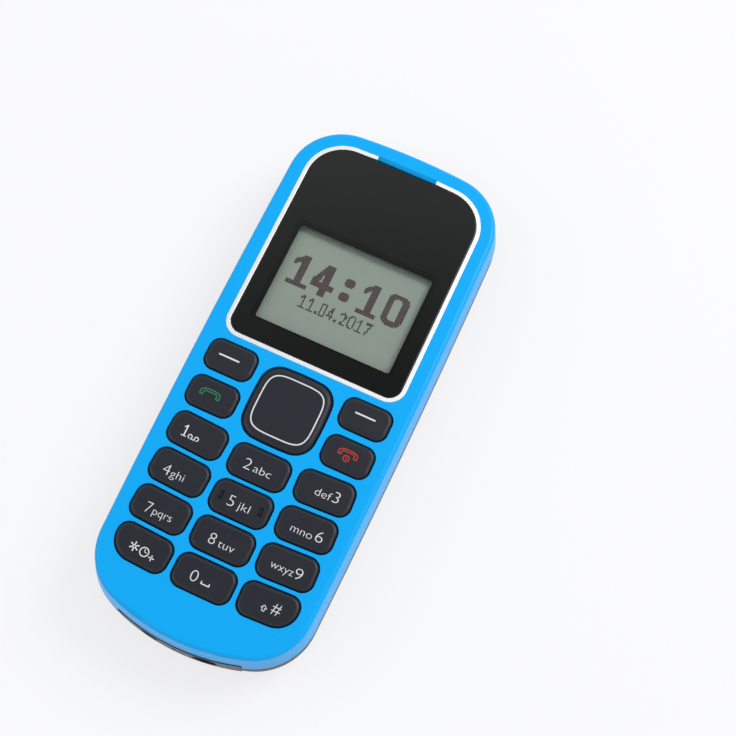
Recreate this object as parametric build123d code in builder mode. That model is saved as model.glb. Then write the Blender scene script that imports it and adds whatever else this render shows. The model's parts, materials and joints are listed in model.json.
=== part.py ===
from build123d import *
from collections import namedtuple
import math
import os

# Feature phone: a moulded front cover with a display lens and a keypad, a chassis band, and a lift-off rear cover
# over the battery. The phone lies on its back. +Z points out of its face, +Y up to the earpiece and +X to the right
# of the keypad. The origin is at the middle of its footprint, on the surface that it lies on. Lengths are in mm.

os.makedirs("parts", exist_ok=True)

# Overall sizes
body_length = 107.2  # of the two covers, end to end
body_width = 45.1
rear_depth = 6.2  # of the rear cover, from the back up to the chassis band
band_depth = 2.5  # of the chassis band that shows between the covers
front_depth = 6.2  # of the front cover, from the band up to its face
key_proud = 0.4  # how far the keys stand out of the face
cap_overhang = 0.6  # how far the torch cap stands out past the covers at the top end

# Clearances and working allowances
seam = 0.15  # along every outside joint line
seat_gap = 0.05  # between inner pieces that seat on each other
film_gap = 0.02  # between thin bonded layers
cut_over = 1.0  # how far a cut runs past the face that it opens
sink = 0.2  # how far a boss or rib runs into the wall that carries it

# Heights above the back
half_length = body_length / 2
half_width = body_width / 2
band_z = rear_depth
parting_z = band_z + band_depth
face_z = parting_z + front_depth
key_top_z = face_z + key_proud
plan_y = -cap_overhang / 2


def level(height):
    """Plan plane at a height above the back, centred on the covers."""
    return Plane(origin=(0, plan_y, height))


def across(y):
    """Upright plane across the phone: its x is X and its y is Z. It faces the bottom end."""
    return Plane(origin=(0, plan_y + y, 0), x_dir=(1, 0, 0), z_dir=(0, -1, 0))


def along(x):
    """Upright plane along the phone: its x is Y and its y is Z. It faces +X."""
    return Plane(origin=(x, plan_y, 0), x_dir=(0, 1, 0), z_dir=(1, 0, 0))


def arc_rise(reach, rise, inset):
    """Rise of an end arc that is drawn in by an inset, over its shorter reach."""
    radius = (reach**2 + rise**2) / (2 * rise) - inset
    return radius - math.sqrt(radius**2 - (reach - inset) ** 2)


def write_piece(piece, name):
    """Labels one finished piece and writes its file."""
    piece.part.label = name
    export_step(piece.part, f"parts/{name}.step")


# Body outline: four shallow arcs with rounded corners
top_corner_inset = 0.4
bottom_corner_inset = 0.9
top_rise = 1.85
bottom_rise = 6.0
widest_above_middle = 8.0
top_corner_radius = 11.9
bottom_corner_radius = 12.1

top_reach = half_width - top_corner_inset
bottom_reach = half_width - bottom_corner_inset


def body_section(inset):
    """Plan outline of the covers, drawn in by an inset."""
    end = half_length - inset
    top = (top_reach - inset, end - arc_rise(top_reach, top_rise, inset))
    low = (bottom_reach - inset, arc_rise(bottom_reach, bottom_rise, inset) - end)
    with BuildSketch() as section:
        with BuildLine():
            ThreePointArc((-top[0], top[1]), (0, end), top)
            ThreePointArc(top, (half_width - inset, widest_above_middle), low)
            ThreePointArc(low, (0, -end), (-low[0], low[1]))
            ThreePointArc((-low[0], low[1]), (inset - half_width, widest_above_middle), (-top[0], top[1]))
        make_face()
        fillet(section.vertices().group_by(Axis.Y)[-1], top_corner_radius - inset)
        fillet(section.vertices().group_by(Axis.Y)[0], bottom_corner_radius - inset)
    return section.sketch


body_outline = body_section(0)

# Lens aperture in the face: an arched top edge with large corners
lens_side_margin = 3.8
lens_top_margin = 3.66
lens_height_share = 0.43377  # of the body's length
lens_height = lens_height_share * body_length
lens_top_rise = 0.9
lens_top_radius = 8.5
lens_bottom_radius = 3.6
trim_width = 0.87

aperture_half = half_width - lens_side_margin
aperture_top = half_length - lens_top_margin
aperture_bottom = aperture_top - lens_height


def lens_section(inset):
    """Plan outline of the lens aperture, drawn in by an inset."""
    half = aperture_half - inset
    top = aperture_top - inset
    shoulder = top - arc_rise(aperture_half, lens_top_rise, inset)
    bottom = aperture_bottom + inset
    with BuildSketch() as section:
        with BuildLine():
            ThreePointArc((-half, shoulder), (0, top), (half, shoulder))
            Polyline((half, shoulder), (half, bottom), (-half, bottom), (-half, shoulder))
        make_face()
        fillet(section.vertices().group_by(Axis.Y)[-1], lens_top_radius - inset)
        fillet(section.vertices().group_by(Axis.Y)[0], lens_bottom_radius - inset)
    return section.sketch


# Display window in the lens
window_side_margin = 4.64
window_bottom_margin = 5.8
window_top_margin = 19.7
window_radius = 0.5
window_width = 2 * (aperture_half - window_side_margin)
window_height = lens_height - window_top_margin - window_bottom_margin
window_y = aperture_bottom + window_bottom_margin + window_height / 2

# Front cover walls, and the shelf that carries the lens
front_wall = 1.4
front_flare = 0.75  # how much wider the cover is at the band than at the face
front_edge_radius = 0.9
lens_recess = 1.5
shelf_depth = 1.0
shelf_margin = 0.6
front_under_z = face_z - front_wall
shelf_top_z = face_z - lens_recess
shelf_z = shelf_top_z - shelf_depth

# Main board, and the levels that are set from it
board_thickness = 0.8
board_over_parting = 0.8
board_inset = 2.4
board_z = parting_z + board_over_parting
board_top_z = board_z + board_thickness

# Chassis floor, and the stack behind it
floor_depth = 0.6
floor_under_parting = 0.8
sim_slot_depth = 1.15
rear_back_wall = 1.0
rear_side_wall = 1.2
rear_edge_radius = 5.6
battery_gap = 0.25
floor_z = parting_z - floor_under_parting
floor_top_z = floor_z + floor_depth
battery_z = rear_back_wall + battery_gap
battery_depth = floor_z - sim_slot_depth - battery_z
battery_side_margin = 5.55
battery_bottom_margin = 21.3
battery_top_margin = 32.9
battery_width = body_width - 2 * battery_side_margin
battery_length = body_length - battery_bottom_margin - battery_top_margin
battery_y = battery_bottom_margin - half_length + battery_length / 2
bay_gap = 0.3
bay_wall = 1.0
bay_wall_z = 1.9

# Keys. Each has its place, size, turn, corner radius and the radius of its outer bottom corner.
Key = namedtuple("Key", "name x y width height turn radius outer_radius")
key_gap = 0.22
key_edge_share = 0.107  # of a key's height
key_travel = 0.3
wing_reach = 0.6
wing_depth = 0.6
wing_share = 0.6
wing_gap = 0.1
plunger_share = 0.23
dome_share = 0.31
key_radius_share = 0.343
low_corner_share = 0.63
dome_height = 0.3
press_gap = 0.05

nav_width = 15.3
nav_height_share = 0.14552  # of the body's length
nav_height = nav_height_share * body_length
nav_bulge = 0.45
nav_radius = 4.2
nav_lens_web = 1.44
nav_side_web = 1.22
nav_y = aperture_bottom - nav_lens_web - nav_height / 2

control_side_margin = 3.48
control_web = 1.16
control_shrink = 0.84
control_rise = 0.6
control_height = (nav_height - control_shrink - control_web) / 2
control_width = half_width - control_side_margin - nav_side_web - nav_width / 2
control_x = half_width - control_side_margin - control_width / 2
control_pitch = control_height + control_web
soft_y = nav_y + control_rise + control_pitch / 2
call_y = soft_y - control_pitch

pad_top_web = 0.84
pad_bottom_margin = 9.35
row_web = 0.6
column_web = 1.2
middle_width = 12.1
pad_side_margin = 3.72
column_lean = 0.12  # how much nearer the middle each row's side keys stand
side_rise_first = 0.72
side_rise_last = 0.42
side_turn = 2.8  # degrees
row_names = (
    ("key_1", "key_2", "key_3"),
    ("key_4", "key_5", "key_6"),
    ("key_7", "key_8", "key_9"),
    ("key_star", "key_0", "key_hash"),
)
row_count = len(row_names)
pad_top = nav_y - nav_height / 2 - pad_top_web
pad_bottom = pad_bottom_margin - half_length
row_pitch = (pad_top - pad_bottom + row_web) / row_count
key_height = row_pitch - row_web
side_width = half_width - pad_side_margin - column_web - middle_width / 2
side_x = half_width - pad_side_margin - side_width / 2
control_radius = key_radius_share * control_height
key_radius = key_radius_share * key_height
key_edge_radius = key_edge_share * key_height
plunger_radius = plunger_share * key_height
dome_radius = dome_share * key_height

keys = [
    Key("soft_key_left", -control_x, soft_y, control_width, control_height, 0, control_radius, control_radius),
    Key("soft_key_right", control_x, soft_y, control_width, control_height, 0, control_radius, control_radius),
    Key("call_key", -control_x, call_y, control_width, control_height, 0, control_radius, control_radius),
    Key("end_key", control_x, call_y, control_width, control_height, 0, control_radius, control_radius),
]
for row, (left_name, middle_name, right_name) in enumerate(row_names):
    row_y = pad_top - key_height / 2 - row * row_pitch
    rise = side_rise_first + (side_rise_last - side_rise_first) * row / (row_count - 1)
    reach = side_x - row * column_lean
    outer = low_corner_share * key_height if row == row_count - 1 else key_radius
    keys.append(Key(left_name, -reach, row_y + rise, side_width, key_height, -side_turn, key_radius, outer))
    keys.append(Key(middle_name, 0, row_y, middle_width, key_height, 0, key_radius, key_radius))
    keys.append(Key(right_name, reach, row_y + rise, side_width, key_height, side_turn, key_radius, outer))

dome_z = board_top_z + film_gap
dome_top_z = dome_z + dome_height
wing_top_z = front_under_z - wing_gap
key_base_z = wing_top_z - wing_depth
plunger_z = dome_top_z + key_travel + press_gap


def key_section(key, inset):
    """Plan outline of one key aperture at its place and turn, drawn in by an inset."""
    width = key.width - 2 * inset
    height = key.height - 2 * inset
    side = 1 if key.x > 0 else -1
    with BuildSketch() as section:
        Rectangle(width, height)
        fillet(section.vertices().sort_by_distance((side * width, -height))[1:], key.radius - inset)
        fillet(section.vertices().sort_by_distance((side * width, -height))[0], key.outer_radius - inset)
    with BuildSketch() as placed:
        with Locations(Location((key.x, key.y, 0), (0, 0, key.turn))):
            add(section.sketch)
    return placed.sketch


def nav_section(width, height, radius):
    """Plan outline of a rounded square with bulging sides, centred on the scroll key."""
    x = width / 2 - nav_bulge
    y = height / 2 - nav_bulge
    with BuildSketch() as section:
        with BuildLine():
            ThreePointArc((-x, y), (0, height / 2), (x, y))
            ThreePointArc((x, y), (width / 2, 0), (x, -y))
            ThreePointArc((x, -y), (0, -height / 2), (-x, -y))
            ThreePointArc((-x, -y), (-width / 2, 0), (-x, y))
        make_face()
        fillet(section.vertices(), radius)
    with BuildSketch() as placed:
        with Locations((0, nav_y)):
            add(section.sketch)
    return placed.sketch


# Screws: four, from the chassis through the board into the front cover
screw_radius = 0.8
screw_head_radius = 1.6
screw_head_depth = 1.1
screw_reach = 2.2  # of thread in the front cover
screw_hole_gap = 0.15
screw_drive_radius = 0.9
screw_drive_depth = 0.5
boss_radius = 2.0
thread_gap = 0.05
top_screw_side = 5.55  # from the side of the body
top_screw_end = 12.1  # from the top end
bottom_screw_end = 6.0  # from the bottom end
bottom_screw_web = 2.6  # from the headset jack
headset_x = 5.6
headset_width = 6.0
top_screw_x = half_width - top_screw_side
bottom_screw_x = headset_x + headset_width / 2 + bottom_screw_web
top_screws = [(side * top_screw_x, half_length - top_screw_end) for side in (-1, 1)]
bottom_screws = [(side * bottom_screw_x, bottom_screw_end - half_length) for side in (-1, 1)]
screws = top_screws + bottom_screws

# Torch cap at the top end
cap_side_margin = 7.15
cap_depth = 2.9  # from its inner face out to its tip
cap_rise = 0.3
cap_corner_radius = 3.0
cap_edge_radius = 0.7
cap_under_band = 2.0
cap_over_parting = 1.9
cap_half_width = half_width - cap_side_margin
cap_z = band_z - cap_under_band
cap_top_z = parting_z + cap_over_parting
cap_tip = half_length + cap_overhang
cap_inner = cap_tip - cap_depth
torch_under_parting = 0.5
torch_z = parting_z - torch_under_parting
torch_radius = 1.7

# Port panel at the bottom end, with the headset jack, the charger jack and the microphone behind it
port_side_margin = 10.15
port_wall = 1.6
port_under_band = 2.2
port_over_parting = 1.2
port_half_width = half_width - port_side_margin
port_z = band_z - port_under_band
port_top_z = parting_z + port_over_parting
jack_under_parting = 1.7
jack_axis_z = parting_z - jack_under_parting
charger_x = -5.6
microphone_x = -0.3
headset_bore = 1.8
charger_bore = 1.05

# Earpiece sound slot between the front cover and the lens
notch_half = 6.3
lip_reach = 0.7
lip_drop = 0.6
slot_reach = 0.45
sound_hole_half = 5.0
sound_hole_width = 0.9
sound_hole_y = aperture_top - lip_reach - slot_reach

# Front cover
lcd_opening_margin = 1.1
flare_angle = math.degrees(math.atan2(front_flare, front_depth))
shelf_inset = front_wall + (shelf_z - parting_z) / front_depth * front_flare - sink
front_cavity_outline = body_section(front_wall)
shelf_outline = body_section(shelf_inset)
lens_opening = lens_section(0)
key_openings = [key_section(key, 0) for key in keys] + [nav_section(nav_width, nav_height, nav_radius)]
shelf_start = aperture_bottom - shelf_margin
lip_profile = (
    (aperture_top + sink, face_z),
    (aperture_top, face_z),
    (aperture_top - lip_reach, face_z - lip_drop),
    (aperture_top - lip_reach, shelf_top_z - sink),
    (aperture_top + sink, shelf_top_z - sink),
)

with BuildPart() as front_cavity:
    with BuildSketch(level(parting_z)):
        add(front_cavity_outline)
    extrude(amount=front_depth - front_wall)
    draft(front_cavity.faces().filter_by(Plane.XY, reverse=True), level(parting_z), flare_angle)

with BuildPart() as front_cover:
    with BuildSketch(level(parting_z)):
        add(body_outline)
    extrude(amount=front_depth)
    draft(front_cover.faces().filter_by(Plane.XY, reverse=True), level(parting_z), flare_angle)
    fillet(front_cover.faces().sort_by(Axis.Z)[-1].edges(), front_edge_radius)
    add(front_cavity.part, mode=Mode.SUBTRACT)
    # Shelf under the lens, the lens recess and the lip of the earpiece slot
    with BuildSketch(level(shelf_z)):
        add(shelf_outline)
        with Locations((0, (shelf_start + half_length) / 2)):
            Rectangle(body_width, half_length - shelf_start, mode=Mode.INTERSECT)
    extrude(amount=front_under_z + sink - shelf_z)
    with BuildSketch(level(shelf_top_z)):
        add(lens_opening)
    extrude(amount=lens_recess + cut_over, mode=Mode.SUBTRACT)
    with BuildSketch(along(-notch_half)):
        with BuildLine():
            Polyline(*lip_profile, close=True)
        make_face()
    extrude(amount=2 * notch_half)
    with BuildSketch(level(shelf_z - cut_over)):
        with Locations((0, window_y)):
            RectangleRounded(
                window_width + 2 * lcd_opening_margin, window_height + 2 * lcd_opening_margin, window_radius
            )
        with Locations((0, sound_hole_y)):
            SlotOverall(2 * sound_hole_half, sound_hole_width)
    extrude(amount=shelf_depth + 2 * cut_over, mode=Mode.SUBTRACT)
    # Key openings
    with BuildSketch(level(front_under_z - cut_over)):
        for opening in key_openings:
            add(opening)
    extrude(amount=front_wall + 2 * cut_over, mode=Mode.SUBTRACT)
    # Screw bosses
    with BuildSketch(level(board_top_z + seat_gap)):
        with Locations(*top_screws):
            Circle(boss_radius)
    extrude(amount=shelf_z + sink - board_top_z - seat_gap)
    with BuildSketch(level(board_top_z + seat_gap)):
        with Locations(*bottom_screws):
            Circle(boss_radius)
    extrude(amount=front_under_z + sink - board_top_z - seat_gap)
    with BuildSketch(level(board_top_z - cut_over)):
        with Locations(*screws):
            Circle(screw_radius + thread_gap)
    extrude(amount=cut_over + screw_reach + 2 * seat_gap, mode=Mode.SUBTRACT)
    # Notches in the end walls for the torch cap and the port panel
    with BuildSketch(level(parting_z - cut_over)):
        with Locations((0, half_length)):
            Rectangle(2 * (cap_half_width + seam), 2 * (half_length - cap_inner + seam))
    extrude(amount=cut_over + cap_over_parting + seam, mode=Mode.SUBTRACT)
    with BuildSketch(level(parting_z - cut_over)):
        with Locations((0, -half_length)):
            Rectangle(2 * (port_half_width + seam), 2 * bottom_rise)
    extrude(amount=cut_over + port_over_parting + seam, mode=Mode.SUBTRACT)
write_piece(front_cover, "front_cover")

# Lens, its trim ring and what bonds it to the shelf
trim_proud = 0.05
lens_drop = 0.05
mask_thickness = 0.1
adhesive_thickness = 0.15
adhesive_width = 1.2
lens_edge_radius = 0.2
trim_edge_radius = 0.1
mask_z = shelf_top_z + adhesive_thickness + 2 * film_gap
lens_z = mask_z + mask_thickness + film_gap
lens_inset = trim_width + seat_gap
lens_outline = lens_section(lens_inset)
adhesive_outline = lens_section(lens_inset + seat_gap)
adhesive_inner = lens_section(lens_inset + adhesive_width)
trim_outer = lens_section(film_gap)
trim_inner = lens_section(trim_width)
slot_end = aperture_top - lip_reach - slot_reach

with BuildPart() as display_lens:
    with BuildSketch(level(lens_z)):
        add(lens_outline)
        with Locations((0, aperture_top)):
            Rectangle(2 * notch_half, 2 * (aperture_top - slot_end), mode=Mode.SUBTRACT)
    extrude(amount=face_z - lens_drop - lens_z)
    fillet(display_lens.faces().sort_by(Axis.Z)[-1].edges(), lens_edge_radius)
write_piece(display_lens, "display_lens")

with BuildPart() as lens_mask:
    with BuildSketch(level(mask_z)):
        add(lens_outline)
        with Locations((0, aperture_top)):
            Rectangle(2 * notch_half, 2 * (aperture_top - slot_end), mode=Mode.SUBTRACT)
        with Locations((0, window_y)):
            RectangleRounded(window_width, window_height, window_radius, mode=Mode.SUBTRACT)
    extrude(amount=mask_thickness)
write_piece(lens_mask, "lens_mask")

with BuildPart() as lens_adhesive:
    with BuildSketch(level(shelf_top_z + film_gap)):
        add(adhesive_outline)
        add(adhesive_inner, mode=Mode.SUBTRACT)
        with Locations((0, aperture_top)):
            Rectangle(2 * notch_half, 2 * (aperture_top - slot_end + adhesive_width), mode=Mode.SUBTRACT)
    extrude(amount=adhesive_thickness)
write_piece(lens_adhesive, "lens_adhesive")

with BuildPart() as lens_trim:
    with BuildSketch(level(shelf_top_z + film_gap)):
        add(trim_outer)
        add(trim_inner, mode=Mode.SUBTRACT)
        with Locations((0, aperture_top)):
            Rectangle(2 * (notch_half + film_gap), 2 * lip_reach + 2 * slot_reach, mode=Mode.SUBTRACT)
    extrude(amount=face_z + trim_proud - shelf_top_z - film_gap)
    fillet(lens_trim.faces().sort_by(Axis.Z)[-1].edges(), trim_edge_radius)
write_piece(lens_trim, "lens_trim")

# Display: panel, light guide, holder, dust gasket and flex
panel_side = 1.3  # of glass beyond the window on each side
panel_end = 1.6
panel_thickness = 1.1
panel_ledge = 2.4  # of lower glass that carries the driver chip
ledge_thickness = 0.5
holder_wall = 1.2
gasket_wall = 0.9
gasket_lip = 0.15
flex_width = 12.0
flex_thickness = 0.15
flex_margin = 1.3  # from the aperture down to the end of the foot
panel_top_z = shelf_z - seat_gap
panel_z = panel_top_z - panel_thickness
panel_width = window_width + 2 * panel_side
panel_height = window_height + 2 * panel_end
panel_bottom = window_y - panel_height / 2
ledge_bottom = panel_bottom - panel_ledge
holder_width = panel_width + 2 * holder_wall
holder_top = window_y + panel_height / 2 + holder_wall
holder_bottom = ledge_bottom - holder_wall
pocket_y = (window_y + panel_height / 2 + ledge_bottom) / 2
pocket_height = panel_height + panel_ledge

with BuildPart() as lcd_panel:
    with BuildSketch(level(panel_z)):
        with Locations((0, pocket_y)):
            Rectangle(panel_width, pocket_height)
    extrude(amount=ledge_thickness)
    with BuildSketch(level(panel_z)):
        with Locations((0, window_y)):
            Rectangle(panel_width, panel_height)
    extrude(amount=panel_thickness)
write_piece(lcd_panel, "lcd_panel")

with BuildPart() as lcd_backlight:
    with BuildSketch(level(board_top_z + seat_gap)):
        with Locations((0, pocket_y)):
            Rectangle(panel_width, pocket_height)
    extrude(amount=panel_z - board_top_z - 2 * seat_gap)
write_piece(lcd_backlight, "lcd_backlight")

with BuildPart() as lcd_holder:
    with BuildSketch(level(board_top_z + film_gap)):
        with Locations((0, (holder_top + holder_bottom) / 2)):
            Rectangle(holder_width, holder_top - holder_bottom)
        with Locations((0, pocket_y)):
            Rectangle(panel_width + 2 * seat_gap, pocket_height + 2 * seat_gap, mode=Mode.SUBTRACT)
        with Locations((0, holder_bottom)):
            Rectangle(flex_width + 2 * bay_gap, 4 * holder_wall, mode=Mode.SUBTRACT)
    extrude(amount=panel_top_z - board_top_z - film_gap)
write_piece(lcd_holder, "lcd_holder")

gasket_width = window_width + 2 * gasket_lip
gasket_height = window_height + 2 * gasket_lip
with BuildPart() as lcd_gasket:
    with BuildSketch(level(panel_top_z + film_gap)):
        with Locations((0, window_y)):
            RectangleRounded(gasket_width + 2 * gasket_wall, gasket_height + 2 * gasket_wall, window_radius)
            RectangleRounded(gasket_width, gasket_height, window_radius, mode=Mode.SUBTRACT)
    extrude(amount=mask_z - panel_top_z - 2 * film_gap)
write_piece(lcd_gasket, "lcd_gasket")

flex_z = panel_z + ledge_thickness + film_gap + flex_thickness / 2
flex_foot_z = board_top_z + film_gap + flex_thickness / 2
flex_start = panel_bottom - seat_gap
flex_turn = ledge_bottom - holder_wall / 2
flex_end = aperture_bottom - flex_margin
with BuildPart() as lcd_flex:
    with BuildSketch(along(-flex_width / 2)):
        with BuildLine():
            Polyline(
                (flex_start, flex_z),
                (flex_turn, flex_z),
                (flex_turn, flex_foot_z),
                (flex_end, flex_foot_z),
            )
        trace(line_width=flex_thickness)
    extrude(amount=flex_width)
write_piece(lcd_flex, "lcd_flex")

# Earpiece: speaker, its gasket and the mesh in the sound slot
earpiece_width = 12.0
earpiece_height = 7.0
earpiece_top = 3.3  # from the top end of the covers
earpiece_y = half_length - earpiece_top - earpiece_height / 2
earpiece_gasket_depth = 0.3
earpiece_gasket_wall = 0.5
earpiece_step = 0.8
mesh_thickness = 0.12
mesh_margin = 0.4

earpiece_top_z = shelf_z - earpiece_gasket_depth - seat_gap
with BuildPart() as earpiece_speaker:
    with BuildSketch(level(board_top_z + seat_gap)):
        with Locations((0, earpiece_y)):
            RectangleRounded(earpiece_width, earpiece_height, earpiece_step)
    extrude(amount=earpiece_top_z - film_gap - board_top_z - seat_gap)
    with BuildSketch(level(earpiece_top_z - earpiece_gasket_depth)):
        with Locations((0, earpiece_y)):
            SlotOverall(earpiece_width - 2 * earpiece_step, earpiece_height - 2 * earpiece_step)
    extrude(amount=cut_over, mode=Mode.SUBTRACT)
write_piece(earpiece_speaker, "earpiece_speaker")

with BuildPart() as earpiece_gasket:
    with BuildSketch(level(earpiece_top_z)):
        with Locations((0, earpiece_y)):
            RectangleRounded(earpiece_width, earpiece_height, earpiece_step)
            RectangleRounded(
                earpiece_width - 2 * earpiece_gasket_wall,
                earpiece_height - 2 * earpiece_gasket_wall,
                earpiece_step / 2,
                mode=Mode.SUBTRACT,
            )
    extrude(amount=earpiece_gasket_depth)
write_piece(earpiece_gasket, "earpiece_gasket")

with BuildPart() as earpiece_mesh:
    with BuildSketch(level(shelf_top_z + film_gap)):
        with Locations((0, sound_hole_y)):
            Rectangle(2 * (sound_hole_half + mesh_margin / 2), sound_hole_width)
    extrude(amount=mesh_thickness)
write_piece(earpiece_mesh, "earpiece_mesh")

# Keys: a cap with rounded edges, two wings that stop it under the cover, and a plunger over its dome
mark_reach = 4.0  # of the two raised marks on the middle key
mark_length = 1.2
mark_width = 0.3
mark_height = 0.12

for key in keys:
    cap_outline = key_section(key, key_gap)
    place = Location((key.x, key.y, 0), (0, 0, key.turn))
    with BuildPart() as key_cap:
        with BuildSketch(level(key_base_z)):
            add(cap_outline)
        extrude(amount=key_top_z - key_base_z)
        fillet(key_cap.faces().sort_by(Axis.Z)[-1].edges(), key_edge_radius)
        with BuildSketch(level(key_base_z)):
            with Locations(place):
                Rectangle(key.width + 2 * (wing_reach - key_gap), wing_share * key.height)
        extrude(amount=wing_depth)
        with BuildSketch(level(plunger_z)):
            with Locations((key.x, key.y)):
                Circle(plunger_radius)
        extrude(amount=key_base_z + sink - plunger_z)
        if key.name == "key_5":
            with BuildSketch(level(key_top_z - sink)):
                with Locations((-mark_reach, key.y), (mark_reach, key.y)):
                    SlotOverall(mark_length, mark_width, rotation=90)
            extrude(amount=sink + mark_height)
    write_piece(key_cap, key.name)

# Scroll key: the cap tilts left and right on a rocker, which tilts up and down
nav_edge_radius = 1.1
nav_lift_gap = 0.65  # between the wings and the cover, for the tilt
nav_wing_share = 0.5
rocker_depth = 0.6
rocker_gap = 0.3
rocker_side_gap = 0.55  # to the plungers of the cap
nav_plunger_radius = 1.2
nav_plunger_inset = 2.3  # from the edges of the key to a plunger's axis
nav_tilt_dip = 0.2  # of a plunger at full tilt
rocker_foot_radius = 1.0
rocker_ridge = 0.8  # width of the ridge that the cap tilts on
nav_reach_x = nav_width / 2 - nav_plunger_inset
nav_reach_y = nav_height / 2 - nav_plunger_inset
rocker_half_width = nav_reach_x - nav_plunger_radius - rocker_side_gap
rocker_half_length = nav_reach_y + nav_plunger_radius
nav_base_z = front_under_z - nav_lift_gap - wing_depth
rocker_z = nav_base_z - rocker_gap - rocker_depth
nav_plunger_z = dome_top_z + nav_tilt_dip + press_gap
nav_cap_outline = nav_section(nav_width - 2 * key_gap, nav_height - 2 * key_gap, nav_radius - key_gap)

with BuildPart() as nav_key:
    with BuildSketch(level(nav_base_z)):
        add(nav_cap_outline)
    extrude(amount=key_top_z - nav_base_z)
    fillet(nav_key.faces().sort_by(Axis.Z)[-1].edges(), nav_edge_radius)
    with BuildSketch(level(nav_base_z)):
        with Locations((0, nav_y)):
            Rectangle(nav_width + 2 * (wing_reach - key_gap), nav_wing_share * nav_height)
    extrude(amount=wing_depth)
    with BuildSketch(level(nav_plunger_z)):
        with Locations((-nav_reach_x, nav_y), (nav_reach_x, nav_y)):
            Circle(nav_plunger_radius)
    extrude(amount=nav_base_z + sink - nav_plunger_z)
write_piece(nav_key, "nav_key")

with BuildPart() as nav_rocker:
    with BuildSketch(level(rocker_z)):
        with Locations((0, nav_y)):
            RectangleRounded(2 * rocker_half_width, 2 * rocker_half_length, nav_plunger_radius)
    extrude(amount=rocker_depth)
    with BuildSketch(level(nav_plunger_z)):
        with Locations((0, nav_y - nav_reach_y), (0, nav_y + nav_reach_y)):
            Circle(nav_plunger_radius)
    extrude(amount=rocker_z + sink - nav_plunger_z)
    with BuildSketch(level(board_top_z + seat_gap)):
        with Locations((0, nav_y)):
            Circle(rocker_foot_radius)
    extrude(amount=rocker_z + sink - board_top_z - seat_gap)
    with BuildSketch(level(rocker_z + rocker_depth - sink)):
        with Locations((0, nav_y)):
            Rectangle(rocker_ridge, 2 * rocker_half_length)
    extrude(amount=sink + rocker_gap - seat_gap)
write_piece(nav_rocker, "nav_rocker")

# Keymat, the dome switches under it and the lamps that light it
mat_over_board = 0.5
mat_thickness = 0.7
mat_inset = 3.2
mat_rib = 1.0
mat_margin = 0.9
plunger_clearance = 0.35
lamp_length = 1.6
lamp_width = 0.8
lamp_height = 0.4
mat_outline = body_section(mat_inset)
mat_inner = body_section(mat_inset + mat_rib)
mat_top = aperture_bottom - mat_margin
mat_bottom = pad_bottom - mat_margin
mat_middle = (mat_top + mat_bottom) / 2
nav_points = [
    (-nav_reach_x, nav_y),
    (nav_reach_x, nav_y),
    (0, nav_y - nav_reach_y),
    (0, nav_y + nav_reach_y),
]
key_points = [(key.x, key.y) for key in keys]

with BuildPart() as keymat:
    with BuildSketch(level(board_top_z + seat_gap)):
        add(mat_outline)
        with Locations((0, mat_middle)):
            Rectangle(body_width, mat_top - mat_bottom, mode=Mode.INTERSECT)
        add(mat_inner, mode=Mode.SUBTRACT)
    extrude(amount=mat_over_board)
    with BuildSketch(level(board_top_z + mat_over_board)):
        add(mat_outline)
        with Locations((0, mat_middle)):
            Rectangle(body_width, mat_top - mat_bottom, mode=Mode.INTERSECT)
        with Locations(*key_points):
            Circle(plunger_radius + plunger_clearance, mode=Mode.SUBTRACT)
        with Locations(*nav_points):
            Circle(nav_plunger_radius + plunger_clearance, mode=Mode.SUBTRACT)
        with Locations((0, nav_y)):
            Rectangle(
                2 * (rocker_half_width + plunger_clearance),
                2 * (rocker_half_length + plunger_clearance),
                mode=Mode.SUBTRACT,
            )
    extrude(amount=mat_thickness)
write_piece(keymat, "keymat")

dome_skin = 0.1
with BuildPart() as dome_switches:
    with BuildSketch(level(dome_z)):
        with Locations(*key_points, *nav_points):
            Circle(dome_radius)
    extrude(amount=dome_skin)
    with BuildSketch(level(dome_z + dome_skin)):
        with Locations(*key_points, *nav_points):
            Circle(dome_radius - dome_skin)
    extrude(amount=dome_height - dome_skin, taper=math.degrees(math.atan2(dome_radius / 2, dome_height)))
write_piece(dome_switches, "dome_switches")

lamp_x = (middle_width + column_web) / 2
lamp_rows = [pad_top - key_height - row_web / 2 - row * row_pitch for row in (0, 2)]
lamp_points = [(side * lamp_x, y) for y in lamp_rows for side in (-1, 1)]
lamp_points += [(side * (nav_width + nav_side_web) / 2, soft_y - control_pitch / 2) for side in (-1, 1)]
with BuildPart() as keypad_lamps:
    with BuildSketch(level(dome_z)):
        with Locations(*lamp_points):
            Rectangle(lamp_width, lamp_length)
    extrude(amount=lamp_height)
write_piece(keypad_lamps, "keypad_lamps")

# Main board, and the shield cans and chips on its underside
board_hole_gap = 0.3
board_end_gap = 0.2  # to the wall behind the torch cap
bulkhead_wall = 1.15
board_end = cap_inner - seam - bulkhead_wall - board_end_gap
board_outline = body_section(board_inset)

with BuildPart() as main_board:
    with BuildSketch(level(board_z)):
        add(board_outline)
        with Locations((0, board_end - body_length / 2)):
            Rectangle(body_width, body_length, mode=Mode.INTERSECT)
        with Locations(*screws):
            Circle(screw_radius + board_hole_gap, mode=Mode.SUBTRACT)
    extrude(amount=board_thickness)
write_piece(main_board, "main_board")

# Battery: a cell and the cap that carries its contacts
battery_cap_length = 4.2
battery_corner_radius = 1.5
battery_edge_radius = 0.4
pad_width = 2.0
pad_depth = 0.3
pad_pitch = 3.0
pad_side = 8.0  # from the side of the battery to the middle contact
pad_margin = 0.9
pad_x = battery_width / 2 - pad_side
battery_end = battery_y + battery_length / 2
battery_start = battery_y - battery_length / 2
cell_length = battery_length - battery_cap_length - film_gap
pad_points = [pad_x + step * pad_pitch for step in (-1, 0, 1)]

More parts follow.
